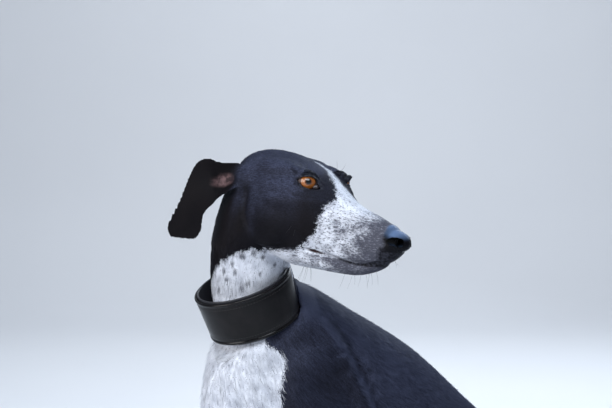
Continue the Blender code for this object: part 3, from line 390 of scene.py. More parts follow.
# Line of the mouth on the left, in centimetres in the head's axes.
MOUTH = ((0.1, 2.45, -7.35), (1.1, 2.20, -7.48), (2.2, 2.00, -7.56), (3.6, 1.90, -7.65), (5.2, 1.78, -7.90),
         (6.6, 1.70, -7.95), (8.0, 1.45, -7.80), (9.1, 1.00, -7.55), (9.8, 0.45, -7.35), (9.95, 0.0, -7.30))

# Ear on the left from its root to its tip: upper edge, lower edge, cup depth and thickness, in
# centimetres in the head's axes.
EAR = (
    ((-9.2, 3.6, 0.2), (-9.4, 3.9, -1.6), 0.25, 0.34),
    ((-10.2, 4.3, 1.0), (-9.8, 4.9, -1.9), 0.75, 0.32),
    ((-11.4, 4.9, 0.85), (-10.5, 5.5, -2.5), 1.15, 0.30),
    ((-12.5, 5.5, 0.85), (-11.3, 6.0, -3.3), 1.20, 0.28),
    ((-13.5, 6.2, 1.1), (-11.4, 6.6, -4.0), 0.95, 0.26),
    ((-14.8, 6.8, 0.3), (-11.8, 7.0, -4.6), 0.65, 0.25),
    ((-15.6, 7.2, -1.9), (-12.0, 7.3, -5.2), 0.45, 0.24),
    ((-16.3, 7.4, -4.1), (-11.9, 7.5, -5.8), 0.35, 0.23),
    ((-17.3, 7.5, -6.0), (-11.8, 7.6, -6.5), 0.25, 0.22),
    ((-18.0, 7.5, -7.6), (-12.0, 7.6, -7.4), 0.15, 0.21),
    ((-17.4, 7.5, -8.6), (-12.9, 7.5, -8.2), 0.05, 0.18),
)
EAR_OPEN = (0.55, 0.82, 0.10)       # the way the cup of the left ear opens


def ear(name, side, sides=30, steps=4):
    """The ear as a cupped sheet of skin and gristle."""
    rows = catmull([(*a, *b, cup, thick) for a, b, cup, thick in EAR], steps) * CM
    opened = unit(np.array(EAR_OPEN)) * (1, side, 1)
    rings, turn = [], turns(sides)
    for row in rows:
        high, low = row[:3] * (1, side, 1), row[3:6] * (1, side, 1)
        across = unit(high - low)
        face = unit(opened - np.dot(opened, across) * across)
        s = np.cos(turn)
        lift = squarish(np.sin(turn), 0.6) * (row[7] / 2)
        rings.append((high + low) / 2 + np.outer(s * (np.linalg.norm(high - low) / 2), across)
                     + np.outer(lift - row[6] * (1 - s * s), face))
    middle = rings[-1].mean(axis=0)
    rings[-1] = middle + (rings[-1] - middle) * 0.9
    return to_head(ring_mesh(name, rings))


# Legs on the left side: rows of x, y, z, half-width, half-depth front and back, and the direction of the
# front.
SHOULDER = (
    (0.036, 0.030, 0.478, 0.016, 0.026, 0.030, 0, -0.45, 1),
    (0.050, 0.000, 0.466, 0.020, 0.036, 0.042, 0, -0.45, 1),
    (0.058, -0.040, 0.458, 0.023, 0.042, 0.048, 0, -0.45, 1),
    (0.060, -0.078, 0.448, 0.024, 0.040, 0.042, 0, -0.45, 1),
    (0.056, -0.105, 0.438, 0.020, 0.028, 0.028, 0, -0.5, 1),
)
UPPER_ARM = (
    (0.056, -0.100, 0.440, 0.024, 0.026, 0.030, 0, -1, 0.3),
    (0.066, -0.080, 0.412, 0.027, 0.032, 0.044, 0, -1, 0.3),
    (0.072, -0.050, 0.375, 0.028, 0.034, 0.044, 0, -1, 0.3),
    (0.072, -0.026, 0.342, 0.026, 0.029, 0.034, 0, -1, 0.2),
    (0.070, -0.018, 0.310, 0.023, 0.026, 0.028, 0, -1, 0.0),
)
TRICEPS = (
    (0.056, 0.014, 0.460, 0.018, 0.026, 0.022, 0, -1, 0),
    (0.068, 0.002, 0.425, 0.023, 0.034, 0.028, 0, -1, 0),
    (0.075, 0.000, 0.385, 0.023, 0.034, 0.028, 0, -1, 0),
    (0.075, 0.000, 0.348, 0.018, 0.026, 0.022, 0, -1, 0),
    (0.072, 0.006, 0.326, 0.012, 0.018, 0.014, 0, -1, 0),
)
FOREARM = (
    (0.071, -0.014, 0.330, 0.025, 0.028, 0.030, 0, -1, 0),
    (0.069, -0.017, 0.295, 0.023, 0.027, 0.028, 0, -1, 0),
    (0.067, -0.021, 0.250, 0.019, 0.024, 0.023, 0, -1, 0),
    (0.065, -0.025, 0.190, 0.0145, 0.017, 0.016, 0, -1, 0),
    (0.064, -0.029, 0.140, 0.0145, 0.015, 0.015, 0, -1, 0),
    (0.064, -0.032, 0.112, 0.0170, 0.016, 0.019, 0, -1, 0),
    (0.065, -0.036, 0.080, 0.0160, 0.013, 0.015, 0, -1, 0),
    (0.066, -0.045, 0.050, 0.0190, 0.014, 0.016, 0, -1, 0.2),
    (0.067, -0.058, 0.030, 0.0200, 0.014, 0.020, 0, -1, 0.9),
)
THIGH = (
    (0.030, 0.372, 0.150, 0.030, 0.080, 0.075, 0, 0.25, 1),
    (0.058, 0.335, 0.165, 0.043, 0.092, 0.100, 0, 0.2, 1),
    (0.078, 0.280, 0.175, 0.040, 0.088, 0.098, 0, 0.1, 1),
    (0.090, 0.220, 0.188, 0.035, 0.068, 0.080, 0, 0.0, 1),
    (0.097, 0.165, 0.198, 0.030, 0.045, 0.052, 0, -0.2, 1),
    (0.098, 0.130, 0.196, 0.022, 0.026, 0.030, 0, -0.4, 1),
)
SHANK = (
    (0.098, 0.142, 0.190, 0.024, 0.030, 0.034, 0, -1, 0.3),
    (0.101, 0.168, 0.158, 0.026, 0.030, 0.038, 0, -1, -0.6),
    (0.101, 0.212, 0.122, 0.023, 0.027, 0.040, 0, -0.7, -1),
    (0.096, 0.262, 0.088, 0.017, 0.022, 0.030, 0, -0.5, -1),
    (0.090, 0.312, 0.060, 0.0135, 0.017, 0.018, 0, -0.5, -1),
    (0.087, 0.340, 0.043, 0.0140, 0.018, 0.016, 0, -0.4, -1),
)
HIND_FOOT = (
    (0.086, 0.362, 0.034, 0.0120, 0.013, 0.015, 0, 0.3, 1),
    (0.086, 0.345, 0.029, 0.0150, 0.022, 0.026, 0, 0, 1),
    (0.087, 0.300, 0.020, 0.0150, 0.017, 0.020, 0, 0, 1),
    (0.088, 0.240, 0.019, 0.0150, 0.015, 0.019, 0, 0, 1),
    (0.089, 0.195, 0.021, 0.0180, 0.016, 0.021, 0, 0, 1),
    (0.090, 0.165, 0.022, 0.0200, 0.016, 0.020, 0, 0, 1),
)
TOES = ((-0.0200, 0.012, 0.88), (-0.0070, 0.0, 1.0), (0.0070, 0.0, 1.0), (0.0200, 0.012, 0.88))
FORE_TOES_AT = (0.067, -0.060)
HIND_TOES_AT = (0.090, 0.160)
TOE_LENGTH = 0.052
TOE_RADIUS = 0.0088
TAIL = (
    (0.000, 0.370, 0.100, 0.019, 0.019, 0.019, 0, 0, 1),
    (0.000, 0.398, 0.070, 0.016, 0.016, 0.016, 0, 1, 1),
    (0.000, 0.420, 0.038, 0.0145, 0.0145, 0.0145, 0, 1, 1),
    (0.004, 0.450, 0.0165, 0.0135, 0.0135, 0.0140, 0, 0.3, 1),
    (0.022, 0.490, 0.0125, 0.0125, 0.0125, 0.0130, 0, 0, 1),
    (0.060, 0.520, 0.0115, 0.0115, 0.0115, 0.0120, 0, 0, 1),
    (0.110, 0.530, 0.0105, 0.0105, 0.0105, 0.0110, 0, 0, 1),
    (0.160, 0.515, 0.0090, 0.0090, 0.0090, 0.0095, 0, 0, 1),
    (0.200, 0.480, 0.0078, 0.0078, 0.0078, 0.0083, 0, 0, 1),
    (0.222, 0.440, 0.0062, 0.0062, 0.0062, 0.0067, 0, 0, 1),
    (0.232, 0.405, 0.0040, 0.0040, 0.0040, 0.0045, 0, 0, 1),
)


def mirrored(rows, side):
    """Leg rows on that side of the body."""
    return [(side * r[0], *r[1:6], side * r[6], *r[7:]) for r in rows]


def toe_rows(at, offset, back, size):
    """One arched toe: it starts behind the knuckle and comes down on its pad."""
    x, y = at[0] + offset, at[1] + back
    spread = offset * 0.25
    r = TOE_RADIUS
    return [
        (x - spread, y + 0.010, 0.030, r * 0.9, r, r, 0, 0, 1),
        (x, y - 0.010 * size, 0.031, r, r, r * 1.1, 0, 0, 1),
        (x + spread * 0.5, y - 0.028 * size, 0.024, r, r, r * 1.2, 0, -0.3, 1),
        (x + spread * 0.8, y - 0.042 * size, 0.0125, r, r * 0.9, r * 1.3, 0, -0.5, 1),
        (x + spread, y - TOE_LENGTH * size, 0.0095, r * 0.72, r * 0.6, r * 0.9, 0, -0.6, 1),
    ]


def leg_forms(side):
    """Shoulder, haunch, legs and feet on that side."""
    forms = [loft(name, mirrored(rows, side)) for name, rows in (
        ("shoulder", SHOULDER), ("upper arm", UPPER_ARM), ("triceps", TRICEPS), ("forearm", FOREARM),
        ("thigh", THIGH), ("shank", SHANK), ("hind foot", HIND_FOOT))]
    for at in (FORE_TOES_AT, HIND_TOES_AT):
        for offset, back, size in TOES:
            forms.append(loft("toe", mirrored(toe_rows(at, offset, back, size), side), sides=14, steps=4))
        forms.append(blob("pad", (side * at[0], at[1] + 0.002, 0.012), (0.017, 0.018, 0.0125)))
    forms.append(blob("heel pad", (side * 0.064, -0.014, 0.100), (0.006, 0.007, 0.008)))
    forms.append(blob("dew toe", (side * 0.0515, -0.038, 0.086), (0.008, 0.0058, 0.010)))
    forms.append(blob("buttock", (side * 0.030, 0.345, 0.052), (0.046, 0.034, 0.054)))
    return forms


def body_forms():
    """Everything below the head."""
    forms = [trunk(), loft("tail", TAIL, sides=20)]
    for side in SIDES:
        forms += leg_forms(side)
    return forms


def step(low, high, value):
    """0 below low, 1 above high, smooth between."""
    t = np.clip((value - low) / (high - low), 0, 1)
    return t * t * (3 - 2 * t)


def read(items, key, width, kind=float):
    """A property of all vertices, triangles or corners of the map, as rows of numbers."""
    out = np.empty(len(items) * width, kind)
    items.foreach_get(key, out)
    return out.reshape(-1, width)


def points_of(mesh):
    return read(mesh.vertices, "co", 3)


def fuse(name, forms, voxel, passes, amount=None):
    """Joins overlapping closed forms into one surface and smooths it, by the amount for each point."""
    bpy.context.view_layer.update()
    made = bmesh.new()
    for form in forms:
        made.from_mesh(form.data)
    for form in forms:
        bpy.data.objects.remove(form)
    body = from_bmesh(name, made)
    remesh = body.modifiers.new("Fuse", "REMESH")
    remesh.mode = "VOXEL"
    remesh.voxel_size = voxel
    apply_all(body)
    if amount is not None:
        share = np.round(amount(points_of(body.data)) * 20).astype(int)
        group = body.vertex_groups.new(name="smoothing")
        for level in range(1, 21):
            found = np.nonzero(share == level)[0].tolist()
            if found:
                group.add(found, level / 20, "REPLACE")
    for count, masked in passes:
        smooth = body.modifiers.new("Smooth", "SMOOTH")
        smooth.factor = 0.5
        smooth.iterations = count
        if masked:
            smooth.vertex_group = "smoothing"
    apply_all(body)
    body.vertex_groups.clear()
    return body


def final_mesh(piece):
    """The piece's mesh as its modifiers leave it."""
    graph = bpy.context.evaluated_depsgraph_get()
    graph.update()
    return bpy.data.meshes.new_from_object(piece.evaluated_get(graph))


def apply_all(piece):
    """Puts the result of the modifiers in place of the mesh."""
    mesh = final_mesh(piece)
    piece.modifiers.clear()
    piece.data = mesh
    return piece


def body_smoothing(p):
    """Trunk and thighs are smoothed fully, the lower legs, feet and tail hardly."""
    fore = step(0.30, 0.37, p[:, 2])
    low_tail = step(0.30, 0.32, p[:, 1]) * step(0.075, 0.060, np.abs(p[:, 0]))
    hind = np.maximum(step(0.08, 0.15, p[:, 2]), low_tail)
    tail = step(0.392, 0.400, p[:, 1]) * step(0.10, 0.08, p[:, 2])
    return np.where(p[:, 1] < 0.06, fore, hind) * (1 - tail)


def combine(piece, cutters, operation="DIFFERENCE"):
    """Boolean of the piece with each cutter in turn; the cutters are removed."""
    for cutter in cutters:
        cut = piece.modifiers.new("Cut", "BOOLEAN")
        cut.operation = operation
        cut.solver = "MANIFOLD"
        cut.object = cutter
    apply_all(piece)
    for cutter in cutters:
        bpy.data.objects.remove(cutter)
    return piece


def thin_out(piece, faces):
    """Fewer triangles, most of them kept where the form bends."""
    count = sum(len(p.vertices) - 2 for p in piece.data.polygons)
    fewer = piece.modifiers.new("Thin out", "DECIMATE")
    fewer.ratio = faces / count
    return apply_all(piece)


def block(low, high, frame):
    """A box between two corners, in a frame of its own."""
    made = bmesh.new()
    bmesh.ops.create_cube(made, size=1)
    for v in made.verts:
        v.co = [(low[i] + high[i]) / 2 + v.co[i] * (high[i] - low[i]) for i in range(3)]
    made.transform(frame)
    return from_bmesh("block", made)


def keep_largest(piece):
    """Drops slivers that a cut leaves loose."""
    made = bmesh.new()
    made.from_mesh(piece.data)
    seen, groups = set(), []
    for start in made.verts:
        if start in seen:
            continue
        stack, group = [start], []
        seen.add(start)
        while stack:
            v = stack.pop()
            group.append(v)
            for edge in v.link_edges:
                other = edge.other_vert(v)
                if other not in seen:
                    seen.add(other)
                    stack.append(other)
        groups.append(group)
    groups.sort(key=len)
    for group in groups[:-1]:
        bmesh.ops.delete(made, geom=group, context="VERTS")
    made.to_mesh(piece.data)
    made.free()
    return piece


def collar_frame():
    """4 by 4 matrix from the collar's own axes, its middle line +Z and the nape +Y, to the body's."""
    return Matrix.Translation(COLLAR_AT) @ Matrix.Rotation(math.radians(COLLAR_LEAN), 4, "X")


def collar_radius(z, out=0.0):
    """Radius of the leather's outer face at a height in the collar's own axes."""
    share = z / COLLAR_HEIGHT + 0.5
    return COLLAR_LOW_RADIUS + (COLLAR_HIGH_RADIUS - COLLAR_LOW_RADIUS) * share + out


def rod(name, points, radius, closed=False, round_steps=1):
    """A round bar along a line of points in the collar's own axes."""
    curve = bpy.data.curves.new(name, "CURVE")
    curve.dimensions = "3D"
    curve.bevel_depth = radius
    curve.bevel_resolution = round_steps
    curve.use_fill_caps = True
    line = curve.splines.new("POLY")
    line.points.add(len(points) - 1)
    for point, place in zip(line.points, points):
        point.co = (*place, 1)
    line.use_cyclic_u = closed
    holder = link(name, curve)
    mesh = final_mesh(holder)
    bpy.data.objects.remove(holder)
    made = bmesh.new()
    made.from_mesh(mesh)
    bmesh.ops.remove_doubles(made, verts=made.verts, dist=1e-6)
    bmesh.ops.recalc_face_normals(made, faces=made.faces)
    made.transform(collar_frame())
    return from_bmesh(name, made)


def claws():
    """Name, place and heading of every claw on the left, and how far its tip falls."""
    found = []
    for foot, at in (("fore", FORE_TOES_AT), ("hind", HIND_TOES_AT)):
        for number, (offset, back, size) in enumerate(TOES, 1):
            rows = toe_rows(at, offset, back, size)
            found.append((f"claw_{foot}_{number}", (rows[-1][0], rows[-1][1] - 0.0055, rows[-1][2] + 0.002),
                          offset * 8, 0.0065))
    found.append(("claw_dew", (0.0500, -0.0430, 0.0800), 0.0, 0.0060))
    return found


# What the eye sees over the flesh: the skin, its marks, the coat, the eyes, the claws and the collar.
SEED = 7
HEAD_SKIN_FACES = 104000
BODY_SKIN_FACES = 84000
HEAD_VOXEL = 0.0011
BODY_VOXEL = 0.0030
COLLAR_OVERLAP = 0.003              # of the two halves of the skin, under the collar
NECK_ROOM = 0.0012                  # between the lining and the skin
PULL_IN = 0.004                     # skin up to this far outside its room is drawn in, the rest sinks
SKULL_VOXEL = 0.0017
NEAR_FEATURE = 0.035                # reach within which points are compared with an eye
CHUNK = 4000                        # points compared at a time
UV_PATCH = 0.003
TUFTS_A_PIECE = 45000
HEAD_TUFTS = 90000
BODY_TUFTS = 130000
IRIS_RADIUS = 0.0086
PUPIL_RADIUS = 0.0029
# Outline of the opening between the lids: towards the inner corner and upwards, in centimetres across the
# line of sight.
LID_OPENING = ((-1.24, -0.04), (-0.92, 0.24), (-0.44, 0.43), (0.12, 0.50), (0.62, 0.38), (0.94, 0.10),
               (1.14, -0.24), (1.40, -0.54), (1.06, -0.68), (0.52, -0.72), (-0.02, -0.67), (-0.64, -0.47))


def along_curve(points, steps=6):
    """Samples of a smooth curve and their directions."""
    dense = catmull(points, steps)
    return dense, unit(np.gradient(dense, axis=0))


def spread(points, samples):
    """Distance from each point to the nearest sample, and the sample's number."""
    best = np.empty(len(points))
    which = np.empty(len(points), int)
    for start in range(0, len(points), CHUNK):
        part = slice(start, start + CHUNK)
        gap = np.linalg.norm(points[part][:, None, :] - samples[None, :, :], axis=2)
        which[part] = gap.argmin(axis=1)
        best[part] = gap.min(axis=1)
    return best, which


def placed(points, frame):
    """Points moved by a 4 by 4 matrix."""
    there = np.array(frame)
    return points @ there[:3, :3].T + there[:3, 3]


def in_head(points):
    """Points in the head's own axes, in centimetres."""
    return placed(points, head_frame().inverted()) / CM


def from_head(rows, side=RIGHT):
    """Points given in centimetres in the head's axes on that side, in the body's."""
    return placed(np.array(rows, float) * CM * (1, side, 1), head_frame())


def in_collar(points):
    """Points in the collar's own axes."""
    return placed(points, collar_frame().inverted())


def signed_side(points, line):
    """Distance in a plane from a line of points; positive on the right of its heading."""
    line = np.array(line, float)
    a, b = line[:-1], line[1:]
    best = np.full(len(points), 1e9)
    sign = np.zeros(len(points))
    for p, q in zip(a, b):
        d = q - p
        t = np.clip(((points - p) @ d) / (d @ d), 0, 1)
        gap = points - (p + t[:, None] * d)
        far = np.linalg.norm(gap, axis=1)
        turn = d[0] * (points[:, 1] - p[1]) - d[1] * (points[:, 0] - p[0])
        closer = far < best - 1e-9
        best = np.where(closer, far, best)
        sign = np.where(closer, -np.sign(turn), sign)
    return best * sign


# Folds and swellings of the skin on the head: depth (below nought for a ridge) and width in millimetres, then
# points in centimetres in the head's axes on the left.
HEAD_FOLDS = (
    (0.45, 1.8, ((-2.7, 3.6, 1.25), (-2.0, 3.6, 1.6), (-1.1, 3.1, 1.75), (-0.2, 2.5, 1.55))),
    (0.8, 1.5, ((-2.6, 3.9, -1.1), (-1.4, 4.0, -1.6), (0.0, 3.6, -1.75), (1.2, 3.0, -1.6))),
    (-0.7, 3.5, ((0.6, 3.4, -2.6), (2.4, 2.9, -4.2), (4.6, 2.5, -5.6))),
    (2.3, 3.4, ((-8.2, 4.6, -1.6), (-8.4, 4.9, -3.0), (-8.1, 4.7, -4.6), (-7.6, 4.4, -6.0))),
    (0.5, 2.4, ((1.4, 3.2, -6.9), (0.2, 3.4, -6.7), (-0.8, 3.7, -6.2))),
    (1.5, 1.5, MOUTH[:-1]),
    (0.9, 1.5, ((-0.6, 2.50, -7.30), (0.3, 2.30, -7.42), (1.4, 2.10, -7.52))),
    (0.5, 3.0, ((-2.9, 3.6, 2.0), (-2.2, 3.3, 2.15), (-1.4, 2.9, 2.0))),
)

# The bunched skin in front of the left eye, as a row of HEAD_FOLDS.
FAR_LID = ((-2.8, 3.2, ((-0.6, 3.9, 0.55), (0.3, 3.6, 0.65), (1.1, 3.0, 0.35), (1.6, 2.5, -0.4),
                        (1.8, 2.5, -1.1))),)
# Such folds on the body, their points in metres: the edges of the shoulder, upper arm and chest.
BODY_FOLDS = (
    (6.0, 8.0, ((0.071, -0.026, 0.505), (0.080, -0.016, 0.480), (0.086, -0.004, 0.450),
                (0.092, 0.008, 0.415), (0.095, 0.014, 0.375))),
    (-4.5, 9.0, ((0.064, -0.050, 0.500), (0.070, -0.042, 0.484), (0.076, -0.030, 0.460),
                 (0.083, -0.020, 0.432), (0.088, -0.016, 0.400))),
    (3.4, 7.0, ((0.030, -0.152, 0.440), (0.036, -0.150, 0.415), (0.040, -0.142, 0.390))),
    (-2.4, 6.0, ((0.004, -0.172, 0.450), (0.003, -0.174, 0.420), (0.002, -0.168, 0.385))),
    (2.6, 5.0, ((0.013, -0.168, 0.445), (0.014, -0.168, 0.415), (0.016, -0.160, 0.385))),
    (-2.0, 8.0, ((0.055, -0.100, 0.470), (0.062, -0.100, 0.440), (0.066, -0.094, 0.405))),
)


def on_side(line, side):
    """Points given in metres on the left, on that side."""
    return np.array(line, float) * (side, 1, 1)


def lid_folds():
    """The rims of the lids as ridges above and below the opening, as rows of HEAD_FOLDS."""
    at, gaze, inner, up = eye_axes(LEFT)
    rows = []
    for depth, width, line in ((-1.5, 1.7, LID_OPENING[:8]), (-1.1, 1.5, LID_OPENING[7:] + LID_OPENING[:1])):
        line = np.array(line) * 1.22 * CM
        rise = np.sqrt(np.maximum(LID_RADIUS ** 2 - (line ** 2).sum(axis=1), 1e-6))
        places = at + line[:, :1] * inner + line[:, 1:] * up + rise[:, None] * gaze
        rows.append((depth, width, tuple(map(tuple, places / CM))))
    return tuple(rows)


def fold(points, normals, table, on_body, sides=tuple(SIDES)):
    """Moves the points along their normals into or out of the folds, whose lines are laid on the skin;
    on_body says where a line lies on that side."""
    moved = points.copy()
    for depth, width, line in table:
        for side in sides:
            dense, _ = along_curve(on_body(line, side), 8)
            dense = np.array([points[((points - p) ** 2).sum(axis=1).argmin()] for p in dense])
            reach = np.ptp(dense, axis=0).max() + 0.03
            where = np.nonzero(np.linalg.norm(points - dense.mean(axis=0), axis=1) < reach)[0]
            far, which = spread(points[where], dense)
            ends = np.sin(np.pi * np.clip((which + 0.5) / len(dense), 0.02, 0.98)) ** 0.5
            pull = depth * 0.001 * np.exp(-(far / (width * 0.001)) ** 2) * ends
            moved[where] -= normals[where] * pull[:, None]
    return moved


def normals_of(mesh):
    return read(mesh.vertices, "normal", 3)


def put_points(mesh, points):
    mesh.vertices.foreach_set("co", np.ascontiguousarray(points, np.float32).ravel())
    mesh.update()


def ear_share(points):
    """1 on the free part of the ears, 0 on the head."""
    x, y, z = in_head(points).T
    return step(-9.6, -10.8, x) * step(3.9, 4.6, np.abs(y)) * step(-9.2, -8.8, z)


def lid_outline():
    return catmull(LID_OPENING + LID_OPENING[:1], 6)[:-1] * CM


def lid_cutter(side):
    """The gap between the lids as a short prism through them."""
    at, gaze, inner, up = eye_axes(side)
    outline = lid_outline()
    flat = np.outer(outline[:, 0], inner) + np.outer(outline[:, 1], up)
    rings = [at + gaze * depth + scale * flat for depth,
             scale in ((0.0015, 0.93), (0.0080, 0.98), (0.0200, 1.06))]
    return to_head(ring_mesh("lid gap", rings))


def eye_on_body(side):
    """Middle of the eyeball, line of sight, way to the inner corner and upwards, in the body's axes."""
    frame = np.array(head_frame())
    at, *ways = eye_axes(side)
    return frame[:3, :3] @ at + frame[:3, 3], *(frame[:3, :3] @ way for way in ways)


# Middle line of the nostril's hollow on the left, in centimetres in the head's axes, and its radius.
NOSTRIL = (((10.9, 0.45, -4.98), 0.32), ((11.80, 0.85, -4.86), 0.44), ((11.65, 1.22, -4.80), 0.46),
           ((11.15, 1.56, -4.78), 0.40), ((10.55, 1.78, -4.76), 0.27), ((10.00, 1.84, -4.56), 0.15),
           ((9.60, 1.80, -4.36), 0.06))


def wide_nostril(side):
    """The nostril as a bent hollow that runs out to the side in a slit."""
    rows = [(*side_point(*p, side), w * CM, w * CM, w * CM, 0, 0, 1) for p, w in NOSTRIL]
    return to_head(loft("nostril", rows, sides=16, steps=4, cap_rings=2))


def fine_head():
    """Head, upper neck and ears as one skin, with the folds, the line of the mouth, nostrils and openings of
    the eyes."""
    skull = fuse("skull", [trunk(first=11)] + skull_forms(), SKULL_VOXEL, ((30, False),))
    forms = [skull] + face_forms() + [ear("ear", side) for side in SIDES]
    head = fuse("head", forms, HEAD_VOXEL, ((12, True),), lambda p: 1 - 0.86 * ear_share(p))
    mesh = head.data
    points = points_of(mesh)
    points = fold(points, normals_of(mesh), HEAD_FOLDS + lid_folds(), from_head)
    put_points(mesh, points)
    put_points(mesh, fold(points, normals_of(mesh), FAR_LID, from_head, (LEFT,)))
    thin_out(head, HEAD_SKIN_FACES)
    cutters = []
    for side in SIDES:
        cutters += [eyeball("socket", side, 0.0002), lid_cutter(side), wide_nostril(side)]
    combine(head, cutters)
    return keep_largest(head)


def coat_depth(points):
    """How far the skin lies inside the flesh's outline, in metres."""
    x, _, z = in_head(points).T
    on_head = step(-13.0, -9.0, x) * step(-12.5, -10.0, z)
    face = 0.0005 + 0.0005 * step(4.0, -6.0, x)
    depth = np.where(on_head > 0, face * on_head + 0.0014 * (1 - on_head), 0.0018)
    depth = np.where(ear_share(points) > 0.02, 0.0003, depth)
    low = step(0.30, 0.10, points[:, 2])
    depth = depth * (1 - low) + 0.0010 * low
    feet = step(0.07, 0.03, points[:, 2])
    return depth * (1 - feet) + 0.0006 * feet


def under_collar(points):
    """Draws the skin in where the collar goes round it; at the withers it goes down behind the collar, under
    its lower rim and up inside."""
    local = in_collar(points)
    reach = np.hypot(local[:, 0], local[:, 1])
    half = COLLAR_HEIGHT / 2 + LINING_PROUD
    free = collar_radius(local[:, 2], -LEATHER_THICK - LINING_THICK - GAP) - NECK_ROOM
    excess = reach - free
    beside = np.abs(local[:, 2]) < half + 0.001
    near = step(half + 0.014, half + 0.001, np.abs(local[:, 2])) * (excess > 0) * (excess < PULL_IN)
    share = 1 - near * (1 - free / np.maximum(reach, 1e-9))
    local[:, :2] *= share[:, None]
    sunk = beside & (excess >= PULL_IN) & (reach < collar_radius(local[:, 2], 0.0012))
    local[:, 2] = np.where(sunk, -half - 0.0015, local[:, 2])
    return placed(local, collar_frame())


def make_skin():
    """The skin of the whole animal, a coat's depth inside the flesh."""
    body = fuse("body", body_forms(), BODY_VOXEL, ((49, True), (5, False)), body_smoothing)
    thin_out(body, BODY_SKIN_FACES)
    put_points(body.data, fold(points_of(body.data), normals_of(body.data), BODY_FOLDS, on_side))
    head = fine_head()
    at = collar_frame()
    combine(body, [block((-0.3, -0.3, COLLAR_OVERLAP), (0.3, 0.3, 0.4), at)])
    combine(head, [block((-0.3, -0.3, -0.4), (0.3, 0.3, -COLLAR_OVERLAP), at)])
    keep_largest(body)
    keep_largest(head)
    combine(head, [body], "UNION")
    skin = keep_largest(head)
    skin.name = "skin"
    mesh = skin.data
    points = points_of(mesh)
    points = under_collar(points - normals_of(mesh) * coat_depth(points)[:, None])
    points[:, 2] = np.maximum(points[:, 2], FLOOR_CUT + 0.0002)
    put_points(mesh, points)
    mesh.shade_smooth()
    return skin


# All in centimetres in the head's axes: how far along it, the right and the left edge of the white blaze,
# which
# leans to the left as it climbs; then the edge of the black on the side of the face and neck.
BLAZE = ((-4.6, 1.5, 1.3), (-3.4, 1.2, 1.7), (-1.73, 0.85, 1.75), (-0.46, 0.10, 1.3), (0.78, -0.42, 1.1),
         (1.78, -0.87, 1.2), (2.61, -1.30, 1.7), (3.3, -2.4, 2.4), (4.2, -4.5, 4.5))
FACE_EDGE = ((4.6, 1.0), (3.2, -0.9), (2.48, -1.90), (2.27, -2.48), (2.10, -3.05), (1.85, -3.85),
             (1.75, -4.63), (1.06, -5.61), (0.38, -6.27), (-0.69, -7.11), (-1.48, -7.57), (-2.51, -7.84),
             (-4.01, -8.03), (-6.38, -8.36), (-7.78, -8.55), (-8.68, -8.91), (-9.83, -9.67), (-10.95, -10.31),
             (-11.83, -10.93), (-12.55, -11.76), (-13.64, -12.8), (-14.6, -14.6), (-15.0, -18.0))
# Dark spots on the throat: place in centimetres in the head's axes on the right, and radius in millimetres.
SPOTS = (
    ((-8.58, 3.89, -9.36), 5.2), ((-7.55, 3.2, -8.87), 3.8), ((-7.18, 2.25, -9.29), 3.2),
    ((-10.92, 3.98, -11.36), 3.9), ((-10.6, 3.67, -12.36), 4.2), ((-8.53, 2.77, -12.38), 3.7),
    ((-7.12, 0.62, -10.12), 3.0), ((-9.57, 3.67, -11.26), 3.2), ((-8.98, 3.06, -12.91), 3.3),
    ((-6.0, -2.6, -10.0), 3.8), ((-8.2, -3.4, -11.0), 4.4), ((-4.2, -1.2, -9.9), 2.8),
    ((-11.7, 4.1, -13.6), 3.2), ((-9.9, 3.6, -10.2), 2.8), ((-6.4, 2.6, -8.8), 2.6),
    ((-7.9, 1.9, -11.2), 2.7),
)
# Height in metres and half the width of the white on the chest.
CHEST_HALF = ((0.30, 0.036), (0.36, 0.056), (0.42, 0.066), (0.46, 0.066), (0.475, 0.059), (0.485, 0.054),
              (0.492, 0.042), (0.500, 0.042), (0.54, 0.034))


def spot_field(points):
    """Distance in metres outside the nearest spot on the throat, along the skin."""
    best = np.full(len(points), 9.0)
    for place, size in SPOTS:
        at = from_head((place,), RIGHT)[0]
        gap = np.linalg.norm(points - at, axis=1)
        near = gap < 0.035
        if gap.min() < 0.012:
            along = np.sqrt(gap[near] ** 2 - gap.min() ** 2)
            best[near] = np.minimum(best[near], along - size * 0.00075)
    return best


def white_field(points):
    """How far each point lies inside the white, in metres; below nought in the black."""
    x, y, z = in_head(points).T
    places, right, left = np.array(BLAZE).T
    blaze = np.minimum(y - np.interp(x, places, right), np.interp(x, places, left) - y)
    side = signed_side(np.column_stack([x, z]), FACE_EDGE)
    face = np.maximum(np.where(z > -3.2, blaze, -9), -side) * CM
    bx, by, bz = points.T
    chest = np.minimum(np.interp(bz, *np.array(CHEST_HALF).T) - np.abs(bx), -0.085 - by)
    chest = np.minimum(chest, bz - 0.24)
    fore = np.minimum(np.minimum(0.222 - bz - 0.55 * (by + 0.02), 0.05 - by), 0.02 + bz)
    hind = np.minimum(0.052 - bz - 0.12 * (by - 0.2), 0.275 - by - 0.5 * (bz - 0.03))
    tail = np.minimum(bx - 0.150, by - 0.38)
    body = np.maximum.reduce([chest, fore, hind, tail])
    collar_z = in_collar(points)[:, 2]
    nape = -0.100 + 0.028 * step(0.015, 0.030, collar_z) - by
    face = np.minimum(face, np.where(bz < 0.60, nape, 9.0))
    return np.where(collar_z > 0, face, body)


